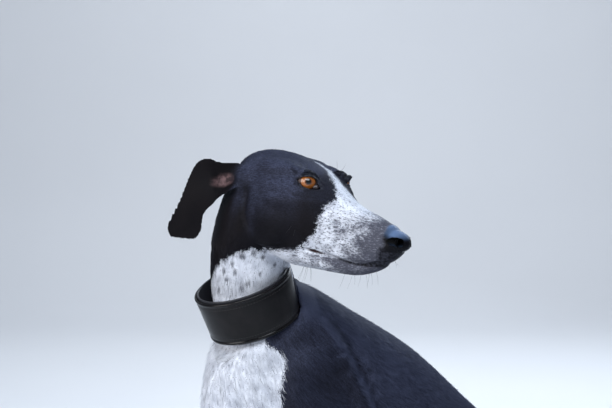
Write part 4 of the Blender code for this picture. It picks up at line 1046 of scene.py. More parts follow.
def tick_share(points, field):
    """How thickly dark specks lie in the white: more along its edges and towards the nose and lips, and on
    the lower jaw, where they also stand in for its shade.
    """
    x, y, z = in_head(points).T
    under = -3.2 - 0.30 * (x - 4.0) - z
    upper = step(-1.4, 0.6, under)
    side = (0.40 + 0.22 * step(2.0, 6.5, x)) * step(-0.2, 1.2, x) * (0.45 + 0.55 * upper)
    front = step(3.6, 9.2, x + 0.35 * under)
    # On the lower jaw the specks are partly real ticking and partly painted shade on the jaw's underside.
    jaw = (0.50 + 0.42 * step(1.0, 4.5, x)) * step(-6.0, -1.0, x) * step(-7.3, -8.0, z)
    throat = 0.10 * step(-2.0, -6.0, x)
    head = np.maximum.reduce([side, front, jaw, throat])
    head = np.where(x > 2.0, head * (1 - 0.75 * step(0.55, 0.10, np.abs(y)) * step(6.5, 4.5, x)), head)
    on_face = step(-6.0, -2.0, x)
    head = np.maximum(head, (0.36 + 0.18 * on_face) * step(0.0100, 0.0, field))
    body = 0.22 * step(0.35, 0.30, points[:, 2]) + 0.05
    return np.where(in_collar(points)[:, 2] > 0, head, body)


def painted_sheen_share(points, normals):
    """Share of a bluish painted sheen on the black, which is a painted sky reflection: 0 in the deepest
    black, on ears, cheeks and nape, 1 on forehead, back and shoulders, and strongest on the upper faces."""
    x, y, z = in_head(points).T
    # Upward faces get more of the painted sheen, as a painted sky reflection.
    rising = step(-0.3, 0.8, normals[:, 2])
    head = (0.12 + 0.88 * step(-5.6, -1.2, z)) * step(-12.4, -10.0, x) * (1 - ear_share(points))
    head = head * (0.34 + 0.50 * rising)
    # Less of the painted sheen in a band down through the eyes.
    head = head * (1 - 0.72 * step(-1.6, 0.4, x) * step(1.9, 0.9, z))
    # Painted shade along the crease behind the cheek, and a painted highlight on the cheek's bulge in front
    # of it.
    cheek = step(-0.6, -1.8, z) * step(-7.4, -6.0, z) * (np.abs(y) > 2.5)
    head = head * (1 - 0.75 * cheek * np.exp(-((x + 8.3) / 0.55) ** 2))
    head = head + 0.16 * cheek * np.exp(-((x + 6.9) / 0.60) ** 2)
    bx, by, bz = points.T
    # On the body the painted sheen is weaker low down and strongest on upward faces.
    body = (1.0 - 0.5 * step(0.30, 0.15, bz)) * (0.80 + 0.80 * rising)
    # Along the front edge of the shoulder blade: a painted highlight, painted shade in the groove behind it,
    # and less sheen in front of it.
    behind = by - np.interp(bz, *np.array(SHOULDER_RIDGE).T)
    ridge = 0.42 + 0.58 * step(-0.010, -0.001, behind) + 0.7 * np.exp(-(behind / 0.0045) ** 2)
    ridge = ridge - 0.55 * np.exp(-((behind - 0.012) / 0.006) ** 2)
    flank = step(0.53, 0.50, bz) * step(0.28, 0.36, bz) * step(0.035, 0.055, np.abs(bx))
    body = body * (1 + flank * (ridge - 1))
    return np.where(in_collar(points)[:, 2] > 0.03, head, body)


# Height of the front edge of the shoulder blade and where it lies from head to tail; a painted highlight runs
# along it, with painted shade behind.
SHOULDER_RIDGE = ((0.330, 0.020), (0.375, 0.012), (0.423, -0.006), (0.443, -0.013), (0.465, -0.024),
                  (0.484, -0.035), (0.498, -0.041), (0.53, -0.060))


def eye_gap(points):
    """Distance in metres from the edge of the nearer eye's opening."""
    best = np.full(len(points), 9.0)
    for side in SIDES:
        at, gaze, inner, up = eye_on_body(side)
        outline = lid_outline()
        line = at + outline[:, :1] * inner + outline[:, 1:] * up + gaze * 0.0095
        near = np.nonzero(np.linalg.norm(points - at, axis=1) < NEAR_FEATURE)[0]
        best[near] = np.minimum(best[near], spread(points[near], line)[0])
    return best


def mouth_gap(points):
    """Height in metres above or below the line of the mouth on the sides of the muzzle."""
    x, y, z = in_head(points).T
    line = np.array(((-0.5, 0.0, -7.30),) + MOUTH)
    gap = np.abs(z - np.interp(x, line[:, 0], line[:, 2])) * CM
    return np.where((x > -0.5) & (x < 10.6) & (np.abs(y) < 3.4), gap, 9.0)


def nose_share(points):
    """1 on the bare leather of the nose."""
    x, y, z = in_head(points).T
    back = 9.75 + 0.35 * step(-4.6, -5.6, z) + 0.12 * np.abs(y)
    return step(-0.18, 0.18, x - back) * step(-6.15, -5.85, z)


def bare_share(points):
    """1 on the dark bare rims of lids and lips."""
    x, y, z = in_head(points).T
    lids = step(0.0046, 0.0026, eye_gap(points))
    wide = 0.0010 + 0.0008 * step(2.0, 0.8, x) + 0.0004 * step(4.0, 6.0, x) + 0.0022 * step(7.0, 9.5, x)
    faint = (1.0 - 0.72 * step(1.5, 2.5, x) * step(4.8, 3.4, x)) * step(-0.5, 0.4, x)
    lips = step(wide + 0.0006, wide - 0.0004, mouth_gap(points)) * faint
    front = step(9.3, 10.0, x - 0.25 * (z + 5.5)) * step(-5.2, -5.7, z) * step(-9.4, -9.0, z)
    return np.maximum.reduce([lids, lips, front])


def ear_inside(points, normals):
    """1 on the inner side of the ears."""
    x, y, z = in_head(points).T
    back = np.array(head_frame())[:3, :3]
    local = normals @ back
    opened = unit(np.array(EAR_OPEN))
    facing = local[:, 0] * opened[0] + np.sign(y) * local[:, 1] * opened[1] + local[:, 2] * opened[2]
    away = np.hypot((x + 11.9) / 1.15, (z + 1.25 - 0.25 * (x + 11.9)) / 0.80)
    return ear_share(points) * step(0.0, 0.5, facing) * step(1.2, 0.5, away)


def nostril_shade_share(points):
    """1 in and just around the nostrils, where near-black paint stands in for their shade."""
    best = np.full(len(points), 9.0)
    for side in SIDES:
        dense = catmull([(*from_head((p,), side)[0], w * CM) for p, w in NOSTRIL], 6)
        near = np.nonzero(np.linalg.norm(points - dense[:, :3].mean(axis=0), axis=1) < 0.03)[0]
        far = np.linalg.norm(points[near][:, None, :] - dense[None, :, :3], axis=2) - dense[None, :, 3]
        best[near] = np.minimum(best[near], far.min(axis=1))
    return step(0.0012, 0.0003, best)


def flow_chains():
    """Samples of the body's middle lines, their reach and the way the hair lies along them."""
    chains = []
    back = [(0, (t[0] + l[0]) / 2, (t[1] + l[1]) / 2, half) for t, l, half, _ in TRUNK]
    neck = [row[:4] for row in NECK[:-1]]
    chains.append(np.array((back + neck)[::-1]))
    skull = [(*from_head(((r[0], 0.0, (r[1] + r[2]) / 2),))[0], r[3] * CM) for r in SKULL[::-1]]
    chains.append(np.array(skull))
    for side in SIDES:
        for rows in (UPPER_ARM, FOREARM, THIGH, SHANK, HIND_FOOT):
            chains.append(np.array([(side * r[0], r[1], r[2], r[3]) for r in rows]))
        for at in (FORE_TOES_AT, HIND_TOES_AT):
            chains.append(np.array([(side * at[0], at[1] + d, 0.03 - 0.25 * abs(d), 0.02)
                                    for d in (0, -0.03, -0.06)]))
        ears = [(*from_head((((np.array(a) + np.array(b)) / 2),), side)[0], 0.012) for a, b, _, _ in EAR]
        chains.append(np.array(ears))
    chains.append(np.array(TAIL)[:, :4])
    places, reaches, ways = [], [], []
    for chain in chains:
        dense = catmull(chain, 4)
        places.append(dense[:, :3])
        reaches.append(np.maximum(dense[:, 3], 0.008))
        ways.append(unit(np.gradient(dense[:, :3], axis=0)))
    return np.vstack(places), np.concatenate(reaches), np.vstack(ways)


def hair_way(points, normals):
    """The way the coat lies at each point, along the surface."""
    places, reaches, ways = flow_chains()
    out = np.empty_like(points)
    for start in range(0, len(points), CHUNK):
        part = slice(start, start + CHUNK)
        gap = np.linalg.norm(points[part][:, None, :] - places[None, :, :], axis=2) / reaches
        out[part] = (1.0 / (gap + 0.15) ** 6) @ ways
    out = unit(unit(out) + 0.22 * np.array((0.0, 0.0, -1.0)))
    out -= np.sum(out * normals, axis=1, keepdims=True) * normals
    return unit(out)


def attribute(mesh, name, values, kind="FLOAT"):
    """Stores a value for each point of the mesh, for its look."""
    made = mesh.attributes.new(name, kind, "POINT")
    key = "vector" if kind == "FLOAT_VECTOR" else "value"
    made.data.foreach_set(key, np.ascontiguousarray(values, np.float32).ravel())


def coat_marks(points, normals):
    """The marks that the skin and its tufts share, with the share of the painted sheen on the black."""
    white = white_field(points)
    return {"white": white, "ticks": tick_share(points, white), "painted_sheen": painted_sheen_share(points, normals),
            "spot": step(0.0010, -0.0010, spot_field(points))}


def mark_up(mesh, points, normals):
    """Stores the coat's marks and the bare places on the skin, with where the nose gets its painted sky
    reflection and the nostrils their painted shade.
    """
    x, _, z = in_head(points).T
    attribute(mesh, "root", points, "FLOAT_VECTOR")
    marks = coat_marks(points, normals)
    # sky marks the upward faces, where the nose gets a painted sky reflection; hollow marks where the
    # nostrils get painted shade.
    marks.update(hollow=nostril_shade_share(points), sky=step(0.30, 1.0, normals[:, 2]),
                 corner=step(2.6, 1.2, x) * step(-6.4, -6.8, z), nose=nose_share(points),
                 bare=bare_share(points),
                 pink=ear_inside(points, normals), head=step(-0.02, 0.02, in_collar(points)[:, 2] - 0.03))
    for name, values in marks.items():
        attribute(mesh, name, values)


def unwrap(skin):
    """The map of the skin's own shape, from flat pieces side by side."""
    mesh = skin.data
    mesh.uv_layers.new(name="OFBake")
    for other in bpy.context.selected_objects:
        other.select_set(False)
    skin.select_set(True)
    bpy.context.view_layer.objects.active = skin
    bpy.ops.object.mode_set(mode="EDIT")
    bpy.ops.mesh.select_all(action="SELECT")
    bpy.ops.uv.smart_project(angle_limit=math.radians(72), island_margin=0.0006, margin_method="FRACTION")
    bpy.ops.object.mode_set(mode="OBJECT")


class Look:
    """A material and short words for its nodes."""

    def __init__(self, name):
        self.material = bpy.data.materials.new(name)
        self.material.use_nodes = True
        self.tree = self.material.node_tree
        self.shader = self.tree.nodes["Principled BSDF"]

    def link(self, value, socket):
        if isinstance(value, bpy.types.NodeSocket):
            self.tree.links.new(value, socket)
        elif value is not None:
            socket.default_value = value

    def node(self, kind, out=0, **values):
        made = self.tree.nodes.new("ShaderNode" + kind)
        for key, value in values.items():
            self.link(value, made.inputs[1] if key == "Vector_001" else made.inputs[key.replace("_", " ")])
        return made.outputs[out]

    def math(self, operation, a, b=None, clamp=False):
        made = self.tree.nodes.new("ShaderNodeMath")
        made.operation = operation
        made.use_clamp = clamp
        self.link(a, made.inputs[0])
        self.link(b, made.inputs[1])
        return made.outputs[0]

    def times(self, a, b, clamp=False):
        return self.math("MULTIPLY", a, b, clamp)

    def mul_add(self, a, b, c):
        return self.math("ADD", self.times(a, b), c)

    def rest(self, share):
        return self.math("SUBTRACT", 1.0, share)

    def ramp(self, value, low, high):
        """0 below low, 1 above high."""
        made = self.tree.nodes.new("ShaderNodeMapRange")
        made.interpolation_type = "SMOOTHSTEP"
        for key, given in (("Value", value), ("From Min", low), ("From Max", high)):
            self.link(given, made.inputs[key])
        return made.outputs[0]

    def mix(self, share, a, b):
        made = self.tree.nodes.new("ShaderNodeMix")
        made.data_type = "RGBA"
        for key, given in ((0, share), (6, a), (7, b)):
            if isinstance(given, tuple):
                given = (*given, 1.0)
            self.link(given, made.inputs[key])
        return made.outputs[2]

    def value(self, name, out="Fac"):
        made = self.tree.nodes.new("ShaderNodeAttribute")
        made.attribute_name = name
        return made.outputs[out]

    def place(self):
        return self.node("TexCoord", 3)

    def cells(self, place, scale):
        """Distance from the middles of scattered cells, and a random colour for each cell."""
        outputs = self.node("TexVoronoi", Vector=place, Scale=scale).node.outputs
        return outputs["Distance"], outputs["Color"]

    def noise(self, place, scale, detail=2.0, rough=0.5):
        return self.node("TexNoise", Vector=place, Scale=scale, Detail=detail, Roughness=rough)

    def stretched(self, place, scale):
        return self.node("Mapping", Vector=place, Scale=scale)

    def bump(self, height, strength, distance, before=None):
        return self.node("Bump", Strength=strength, Distance=distance, Height=height, Normal=before)

    def finish(self, colour, rough, normal=None, **plain):
        self.link(colour, self.shader.inputs["Base Color"])
        self.link(rough, self.shader.inputs["Roughness"])
        self.link(normal, self.shader.inputs["Normal"])
        for key, value in plain.items():
            self.shader.inputs[key.replace("_", " ")].default_value = value
        return self.material


# The first colour is a painted sky reflection, the bluish sheen painted into the black; the other two are the
# coat's own deep and warm blacks.
PAINTED_SKY_SHEEN, BLACK_DEEP, BLACK_WARM = (0.050, 0.056, 0.094), (0.0022, 0.0022, 0.0034), (0.0075, 0.0058, 0.0068)
WHITE_CLEAR, WHITE_SHADE = (0.74, 0.76, 0.83), (0.56, 0.58, 0.65)
SPECK, UNDER_TICKS = (0.045, 0.045, 0.062), (0.058, 0.060, 0.088)
SHEEN = {"Sheen_Roughness": 0.35, "Sheen_Tint": (0.62, 0.74, 1.0, 1.0)}


def head_wise(look, root):
    """Places turned so that X runs along the head."""
    return look.node("Mapping", Vector=root, Rotation=(0, 0, -math.radians(HEAD_YAW)))


def coat_colour(look):
    """Black and white with ragged borders and specks, and a bluish painted sheen on the black; the skin and
    the tufts rooted in it agree.
    """
    root = look.value("root", "Vector")
    ticks = look.value("ticks")
    wander = look.math("SUBTRACT", look.noise(root, 130, 3.0), 0.5)
    ragged = look.math("SUBTRACT", look.noise(root, 700, 2.0), 0.5)
    edge = look.mul_add(wander, 0.012, look.mul_add(ragged, 0.012, look.value("white")))
    white = look.ramp(edge, -0.0007, 0.0009)
    turned = head_wise(look, root)
    astray = look.node("CombineXYZ", X=look.times(wander, 0.003), Z=look.times(ragged, 0.002))
    bent = look.node("VectorMath", Vector=look.stretched(turned, (0.62, 1.0, 1.0)), Vector_001=astray)
    patchy = look.mul_add(look.ramp(look.noise(root, 80, 3.0), 0.36, 0.64), 0.5, -0.28)
    ticks = look.times(ticks, look.math("ADD", 1.0, look.times(patchy, look.ramp(ticks, 1.05, 0.75))))
    cover = None
    for scale, much in ((170, 0.30), (290, 0.42)):
        distance, tint = look.cells(bent, scale)
        size = look.node("SeparateColor", Color=tint)
        reach = look.times(look.mul_add(ticks, much, 0.16), look.mul_add(size, 0.6, 0.4))
        speck = look.rest(look.ramp(distance, look.times(reach, 0.5), reach))
        some = look.times(speck, look.ramp(look.math("ADD", size, ticks), 0.66, 0.80))
        cover = some if cover is None else look.math("MAXIMUM", cover, some)
    level = look.mul_add(ticks, -0.205, 0.605)
    flecks = look.noise(look.stretched(turned, (0.38, 1.0, 1.0)), 760, 3.0, 0.62)
    flecks = look.ramp(flecks, level, look.math("ADD", level, 0.08))
    cover = look.math("MAXIMUM", look.times(cover, 0.88), look.times(flecks, 0.90))
    spot = look.times(look.value("spot"), look.mul_add(look.noise(root, 700, 2.0), 0.5, 0.72), clamp=True)
    cover = look.math("MAXIMUM", cover, spot)
    pale = look.mix(look.ramp(look.noise(root, 90, 2.0), 0.35, 0.70), WHITE_CLEAR, WHITE_SHADE)
    pale = look.mix(look.times(look.ramp(ticks, 0.20, 1.0), 0.84), pale, UNDER_TICKS)
    pale = look.mix(look.times(cover, 0.88), pale, SPECK)
    # The black: deep and warm black mixed at random, under a bluish painted sheen (a painted sky reflection)
    # broken up along the hair.
    hair = look.noise(look.stretched(turned, (0.30, 1.0, 1.0)), 1100, 2.0)
    painted_sheen = look.times(look.value("painted_sheen"), look.mul_add(look.ramp(hair, 0.35, 0.70), 0.9, 0.45))
    painted_sheen = look.times(painted_sheen, look.mul_add(look.noise(root, 30, 3.0), 0.9, 0.55), clamp=True)
    dark = look.mix(painted_sheen, look.mix(look.noise(root, 22, 2.0), BLACK_DEEP, BLACK_WARM), PAINTED_SKY_SHEEN)
    return look.mix(white, dark, pale), root


def streaks(look, root):
    """Fine relief that runs with the hair: back along the head, down the rest of the body."""
    head = look.noise(look.stretched(head_wise(look, root), (0.22, 1.0, 1.0)), 1500, 2.0)
    body = look.noise(look.stretched(root, (1.0, 0.75, 0.16)), 900, 2.0)
    return look.node("Mix", Factor=look.value("head"), A=body, B=head)


def skin_look():
    """The coat's colours, with the bare leather of nose, lids, lips and inner ears; a painted sky reflection
    on top of the nose and painted shade in the nostrils.
    """
    look = Look("skin")
    colour, root = coat_colour(look)
    bare, nose, pink, hollow = (look.value(name) for name in ("bare", "nose", "pink", "hollow"))
    inner = look.ramp(look.noise(root, 170, 3.0), 0.35, 0.65)
    inner = look.mix(inner, (0.045, 0.028, 0.030), (0.150, 0.090, 0.092))
    colour = look.mix(look.times(pink, 0.9), colour, inner)
    lid = look.ramp(look.noise(root, 260, 3.0), 0.35, 0.70)
    lid = look.mix(lid, (0.004, 0.004, 0.006), (0.036, 0.037, 0.050))
    lid = look.mix(look.value("corner"), lid, (0.022, 0.010, 0.011))
    colour = look.mix(bare, colour, lid)
    leather = look.mix(look.noise(root, 300, 2.0), (0.0030, 0.0030, 0.0040), (0.007, 0.007, 0.010))
    # Painted sky reflection: the upward faces of the nose leather made bright and bluish.
    leather = look.mix(look.value("sky"), leather, (0.100, 0.155, 0.275))
    colour = look.mix(nose, colour, leather)
    # Painted shade: the nostrils' hollows and rims made near black.
    colour = look.mix(hollow, colour, (0.0008, 0.0008, 0.0010))
    smooth = look.math("MAXIMUM", look.math("MAXIMUM", bare, nose), pink)
    normal = look.bump(look.times(streaks(look, root), look.rest(smooth)), 0.55, 0.0006)
    normal = look.bump(look.times(look.cells(root, 900)[0], nose), 0.40, 0.0006, normal)
    rough = look.mul_add(nose, -0.28, look.mul_add(bare, -0.12, 0.54))
    rough = look.math("ADD", rough, look.times(hollow, 0.40), clamp=True)
    return look.finish(colour, rough, normal, Specular_IOR_Level=0.06, Sheen_Weight=0.02, **SHEEN)


def coat_look():
    """The coat's colours, a shade lighter or darker from tuft to tuft."""
    look = Look("coat")
    colour, _ = coat_colour(look)
    tone = look.value("tone")
    colour = look.mix(look.times(tone, 0.004), colour, (0.30, 0.32, 0.38))
    colour = look.mix(look.times(look.rest(tone), 0.10), colour, (0.003, 0.003, 0.004))
    return look.finish(colour, 0.48, None, Specular_IOR_Level=0.05, Sheen_Weight=0.03, **SHEEN)


def grained(name, scale, dark, light, rough, detail=2.0, stretch=None, vary=0.0, relief=None, **plain):
    """A look between two tones in a fine grain, which may vary the roughness and stand in relief too."""
    look = Look(name)
    place = look.place() if stretch is None else look.stretched(look.place(), stretch)
    grain = look.noise(place, scale, detail)
    if vary:
        rough = look.mul_add(grain, vary, rough)
    return look.finish(look.mix(grain, dark, light), rough, look.bump(grain, *relief) if relief else None,
                       **plain)


def dress(piece, look):
    """Smooth shading and its look for a piece."""
    piece.data.shade_smooth()
    piece.data.materials.append(look)
    return piece


def tuft_mesh(name, roots, normals, ways, lengths, widths, lifts, uvs, marks, tones):
    """Thin closed blades: each has three corners at its root, half sunk in the skin, and a tip."""
    count = len(roots)
    base = roots - normals * 0.00025
    ahead = ways * np.cos(lifts)[:, None] + normals * np.sin(lifts)[:, None]
    across = unit(np.cross(normals, ways))
    half = widths[:, None] / 2
    points = np.stack([base + across * half, base - across * half,
                       base + normals * widths[:, None] * 0.40 + ways * widths[:, None] * 0.3,
                       base + ahead * lengths[:, None]], axis=1).reshape(-1, 3)
    points[:, 2] = np.maximum(points[:, 2], FLOOR_CUT + 0.00005)
    corners = np.array(((0, 1, 2), (0, 3, 1), (1, 3, 2), (2, 3, 0)))
    faces = (np.arange(count)[:, None, None] * 4 + corners[None]).reshape(-1, 3)
    mesh = bpy.data.meshes.new(name)
    mesh.vertices.add(len(points))
    mesh.vertices.foreach_set("co", np.ascontiguousarray(points, np.float32).ravel())
    mesh.loops.add(faces.size)
    mesh.loops.foreach_set("vertex_index", faces.astype(np.int32).ravel())
    mesh.polygons.add(len(faces))
    mesh.polygons.foreach_set("loop_start", np.arange(0, faces.size, 3, dtype=np.int32))
    mesh.update(calc_edges=True)
    layer = mesh.uv_layers.new(name="OFBake")
    spots = np.array(((-0.5, -0.4), (0.5, -0.4), (0.0, 0.0), (0.0, 0.5))) * UV_PATCH
    place = (uvs[:, None, :] + spots[None]).reshape(-1, 2)[faces.ravel()]
    layer.data.foreach_set("uv", np.ascontiguousarray(place, np.float32).ravel())
    attribute(mesh, "root", np.repeat(roots, 4, axis=0), "FLOAT_VECTOR")
    attribute(mesh, "tone", np.repeat(tones, 4))
    for key, values in marks.items():
        attribute(mesh, key, np.repeat(values, 4))
    lean = np.repeat(unit(normals + 0.25 * across * (tones[:, None] - 0.5)), 4, axis=0)
    mesh.polygons.foreach_set("use_smooth", np.ones(len(faces), bool))
    mesh.normals_split_custom_set_from_vertices(lean.tolist())
    return link(name, mesh)


def skin_samples(skin, rng):
    """A function that draws random roots on the skin, as points, normals and places on the map, and which of
    the skin's triangles are the head's."""
    mesh = skin.data
    mesh.calc_loop_triangles()
    corners, loops = (read(mesh.loop_triangles, key, 3, np.int32) for key in ("vertices", "loops"))
    points, normals = points_of(mesh), normals_of(mesh)
    uvs = read(mesh.uv_layers["OFBake"].data, "uv", 2)
    a, b, c = (points[corners[:, i]] for i in range(3))
    area = np.linalg.norm(np.cross(b - a, c - a), axis=1) / 2
    middle = (a + b + c) / 3
    level = in_collar(middle)
    on_head = level[:, 2] > 0.012
    covered = (np.abs(level[:, 2]) < COLLAR_HEIGHT / 2 + 0.001) & (np.hypot(level[:, 0], level[:, 1]) < 0.075)
    open_skin = ~covered & (middle[:, 2] > FLOOR_CUT + 0.001)
    bald = np.maximum(nose_share(middle), bare_share(middle))
    thick = np.where(on_head, 1.0 + 0.8 * step(-2.0, 6.0, in_head(middle)[:, 0]), 1.0)
    thick = thick * (1 - step(0.25, 0.7, bald))

    def draw(share, number):
        weight = area * thick * open_skin * share
        picked = rng.choice(len(corners), number, p=weight / weight.sum())
        u, v = rng.random(number), rng.random(number)
        flip = u + v > 1
        u, v = np.where(flip, 1 - u, u), np.where(flip, 1 - v, v)
        w = np.stack([1 - u - v, u, v], axis=1)[:, :, None]
        return ((points[corners[picked]] * w).sum(axis=1), unit((normals[corners[picked]] * w).sum(axis=1)),
                (uvs[loops[picked]] * w).sum(axis=1))

    return draw, on_head


def grow_coat(skin):
    """The coat's tufts in pieces of a fair size."""
    rng = np.random.default_rng(SEED)
    draw, on_head = skin_samples(skin, rng)
    sets = [draw(on_head.astype(float), HEAD_TUFTS), draw((~on_head).astype(float), BODY_TUFTS)]
    look = coat_look()
    pieces = []
    for part, (roots, normals, uvs) in zip(("head", "body"), sets):
        ways = hair_way(roots, normals)
        count = len(roots)
        yaw = rng.normal(0, 0.16, count)[:, None]
        ways = unit(ways * np.cos(yaw) + np.cross(normals, ways) * np.sin(yaw))
        lifts = np.radians(9 + 3 * rng.standard_normal(count)).clip(0.04, 0.5)
        if part == "head":
            x, _, z = in_head(roots).T
            fine = step(2.0, -6.0, x)
            lengths = 0.0030 + 0.0020 * fine + 0.0035 * step(-10.5, -13.0, z)
            lengths = np.where(ear_share(roots) > 0.3, 0.0019, lengths)
            widths = 0.00030 + 0.00012 * fine
        else:
            low, feet = step(0.30, 0.10, roots[:, 2]), step(0.07, 0.03, roots[:, 2])
            lengths = 0.0105 - 0.0040 * low - 0.0025 * feet
            widths = 0.00065 - 0.00020 * low - 0.00010 * feet
        lengths = lengths * rng.uniform(0.75, 1.25, count)
        marks = coat_marks(roots, normals)
        tones = rng.random(count)
        order = np.array_split(np.argsort(roots[:, 2], kind="stable"), math.ceil(count / TUFTS_A_PIECE))
        for number, chosen in enumerate(order, 1):
            rows = (values[chosen] for values in (roots, normals, ways, lengths, widths, lifts, uvs))
            piece = tuft_mesh(f"coat_{part}_{number}", *rows,
                              {key: values[chosen] for key, values in marks.items()},
                              tones[chosen])
            piece.data.materials.append(look)
            pieces.append(piece)
    return pieces


def map_places(skin, tree, lines):
    """Where each line's root lies on the skin's map."""
    layer = skin.data.uv_layers["OFBake"].data
    places = []
    for line in lines:
        face = skin.data.polygons[tree.find_nearest(Vector(line[0]))[2]]
        places.append(np.mean([layer[i].uv for i in face.loop_indices], axis=0))
    return places


def hairs(name, lines, radius, look, places):
    """Long single hairs: tapering rods of three sides along short curves, each on a patch of the map."""
    made = bmesh.new()
    layer = made.loops.layers.uv.new("OFBake")
    on_map = {}
    for line, place in zip(lines, places):
        dense = catmull(np.array(line, float), 3)
        along = unit(np.gradient(dense, axis=0))
        out = unit(np.cross(along, np.array((0.31, 0.17, 0.93))))
        other = np.cross(along, out)
        rings = []
        for i, p in enumerate(dense[:-1]):
            r = radius * (1 - i / (len(dense) - 1)) ** 0.8 + 0.00003
            rings.append([made.verts.new(p + r * (math.cos(t) * out[i] + math.sin(t) * other[i]))
                          for t in (0.0, 2.094, 4.189)])
        tip = made.verts.new(dense[-1])
        for i, ring in enumerate(rings):
            for k, vert in enumerate(ring):
                on_map[vert] = place + UV_PATCH * np.array((0.4 * (k - 1), i / len(rings) - 0.5))
        on_map[tip] = place + UV_PATCH * np.array((0.0, 0.5))
        quads(made, rings)
        for k in range(3):
            made.faces.new((rings[-1][k], rings[-1][(k + 1) % 3], tip))
        made.faces.new(rings[0][::-1])
    bmesh.ops.recalc_face_normals(made, faces=made.faces)
    for face in made.faces:
        for loop in face.loops:
            loop[layer].uv = on_map[loop.vert]
    piece = from_bmesh(name, made)
    piece.data.materials.append(look)
    return piece


def surface(skin):
    """The skin as a tree that finds its nearest point."""
    return BVHTree.FromPolygons(points_of(skin.data).tolist(),
                                [tuple(p.vertices) for p in skin.data.polygons])


def rooted(tree, place):
    """The nearest point of the skin and its normal."""
    at, normal, _, _ = tree.find_nearest(Vector(place))
    return np.array(at), np.array(normal)


# Whiskers: root in centimetres in the head's axes on the left, heading, length in centimetres.
WHISKERS = tuple(
    ((x, 1.9, z), (0.15 - 0.07 * i, 0.85, -0.35 - 0.1 * j), 2.6 + 0.25 * i)
    for i, x in enumerate((8.6, 7.6, 6.6)) for j, z in enumerate((-5.6, -6.8)))
CHIN_HAIRS = tuple(
    ((x, 0.7 + 0.2 * (i % 3), -9.2), (0.25 - 0.1 * i, 0.25 + 0.1 * (i % 2), -1.0), 1.5 + 0.25 * (i % 3))
    for i, x in enumerate((8.0, 6.9, 5.8, 4.4)))
THROAT_HAIRS = tuple(((x, y, -9.6), (dx, 0.2, -1.0), 1.9) for x, y, dx in (
    (-1.9, 0.3, 0.15), (-2.1, 0.5, 0.0), (-2.3, 0.3, -0.15)))
CHEEK_HAIRS = (((-1.2, 4.6, -5.2), (0.5, 0.9, -0.1), 2.2), ((-0.8, 4.5, -5.6), (0.6, 0.8, -0.3), 1.8))
BROW_HAIRS = tuple(((x, 2.8, 1.6), (dx, 0.35, 1.0), 1.1) for x, dx in ((-1.6, -0.3), (-0.9, 0.2)))


def whiskers(skin, tree, look):
    """The long hairs of muzzle, chin, throat, cheeks and brows."""
    rng = np.random.default_rng(SEED + 1)
    lines = []
    there = np.array(head_frame())[:3, :3]
    for side in SIDES:
        for group in (WHISKERS, CHIN_HAIRS, THROAT_HAIRS, CHEEK_HAIRS, BROW_HAIRS):
            for place, way, long in group:
                at, normal = rooted(tree, from_head((place,), side)[0])
                way = there @ unit(np.array(way) * (1, side, 1) + rng.normal(0, 0.14, 3))
                length = long * CM * rng.uniform(0.85, 1.15)
                bend = there @ np.array((-0.12, 0.0, -0.06)) * length
                lines.append([at - normal * 0.0006, at + way * length * 0.4,
                              at + way * length * 0.75 + bend * 0.4, at + way * length + bend])
    return hairs("whiskers", lines, 0.00010, look, map_places(skin, tree, lines))


def lashes(skin, tree, look):
    """Short hairs along the upper lid."""
    rng = np.random.default_rng(SEED + 2)
    lines = []
    for side in SIDES:
        at, gaze, inner, up = eye_on_body(side)
        for u, v in catmull(LID_OPENING[:6], 7) * CM * 1.06:
            deep = math.sqrt(max(LID_RADIUS ** 2 - u * u - v * v, 1e-6))
            base = at + inner * u + up * (v + 0.0004) + gaze * deep
            length = 0.0040 * rng.uniform(0.7, 1.2)
            way = unit(gaze * 1.0 + up * 0.25 + inner * rng.normal(u * 25, 0.15))
            lines.append([base - gaze * 0.001, base + way * length * 0.5 - up * 0.0003, base + way * length])
    return hairs("lashes", lines, 0.00010, look, map_places(skin, tree, lines))


def fine_eye(side, look):
    """The eyeball with a finer bulge of the cornea, and where each point lies across the gaze."""
    angles = np.concatenate([np.linspace(1.5, 46, 34), np.linspace(50, 176, 22)])
    eye, across = eye_body("eye_" + SIDES[side], side, angles, 72, swell=1.2)
    attribute(eye.data, "across", np.vstack(across + [np.array(((0, 0, 0.01), (0, 0, -0.01)))]),
              "FLOAT_VECTOR")
    return dress(eye, look)


def eye_look():
    """Amber iris with fine rays and darker rims, black pupil and dark white of the eye, under a wet
    cornea."""
    look = Look("eye")
    across = look.value("across", "Vector")
    x, y, z = look.node("SeparateXYZ", Vector=across).node.outputs
    reach = look.math("SQRT", look.math("ADD", look.times(x, x), look.times(y, y)))
    angle = look.math("ARCTAN2", y, x)
    rays = look.node("CombineXYZ", X=look.times(angle, 2.2), Y=look.times(reach, 160.0))
    fibre = look.noise(rays, 9.0, 4.0, 0.6)
    gold = look.mix(look.ramp(fibre, 0.32, 0.70), (0.135, 0.039, 0.008), (0.490, 0.152, 0.022))
    share = look.math("DIVIDE", reach, IRIS_RADIUS)
    iris = look.mix(look.ramp(share, 0.80, 1.0), gold, (0.050, 0.017, 0.008))
    iris = look.mix(look.ramp(share, 0.54, 0.38), iris, (0.10, 0.030, 0.008))
    pupil = look.rest(look.ramp(reach, PUPIL_RADIUS - 0.0003, PUPIL_RADIUS + 0.0003))
    iris = look.mix(pupil, iris, (0.0006, 0.0006, 0.0008))
    outer = look.mix(look.ramp(look.noise(across, 900, 2.0), 0.45, 0.7), (0.115, 0.085, 0.080),
                     (0.060, 0.040, 0.038))
    on_iris = look.times(look.rest(look.ramp(share, 0.98, 1.08)), look.math("GREATER_THAN", z, 0.0))
    return look.finish(look.mix(on_iris, outer, iris), 0.40, None, Coat_Weight=1.0, Coat_Roughness=0.02,
                       Coat_IOR=1.58, Specular_IOR_Level=0.10)


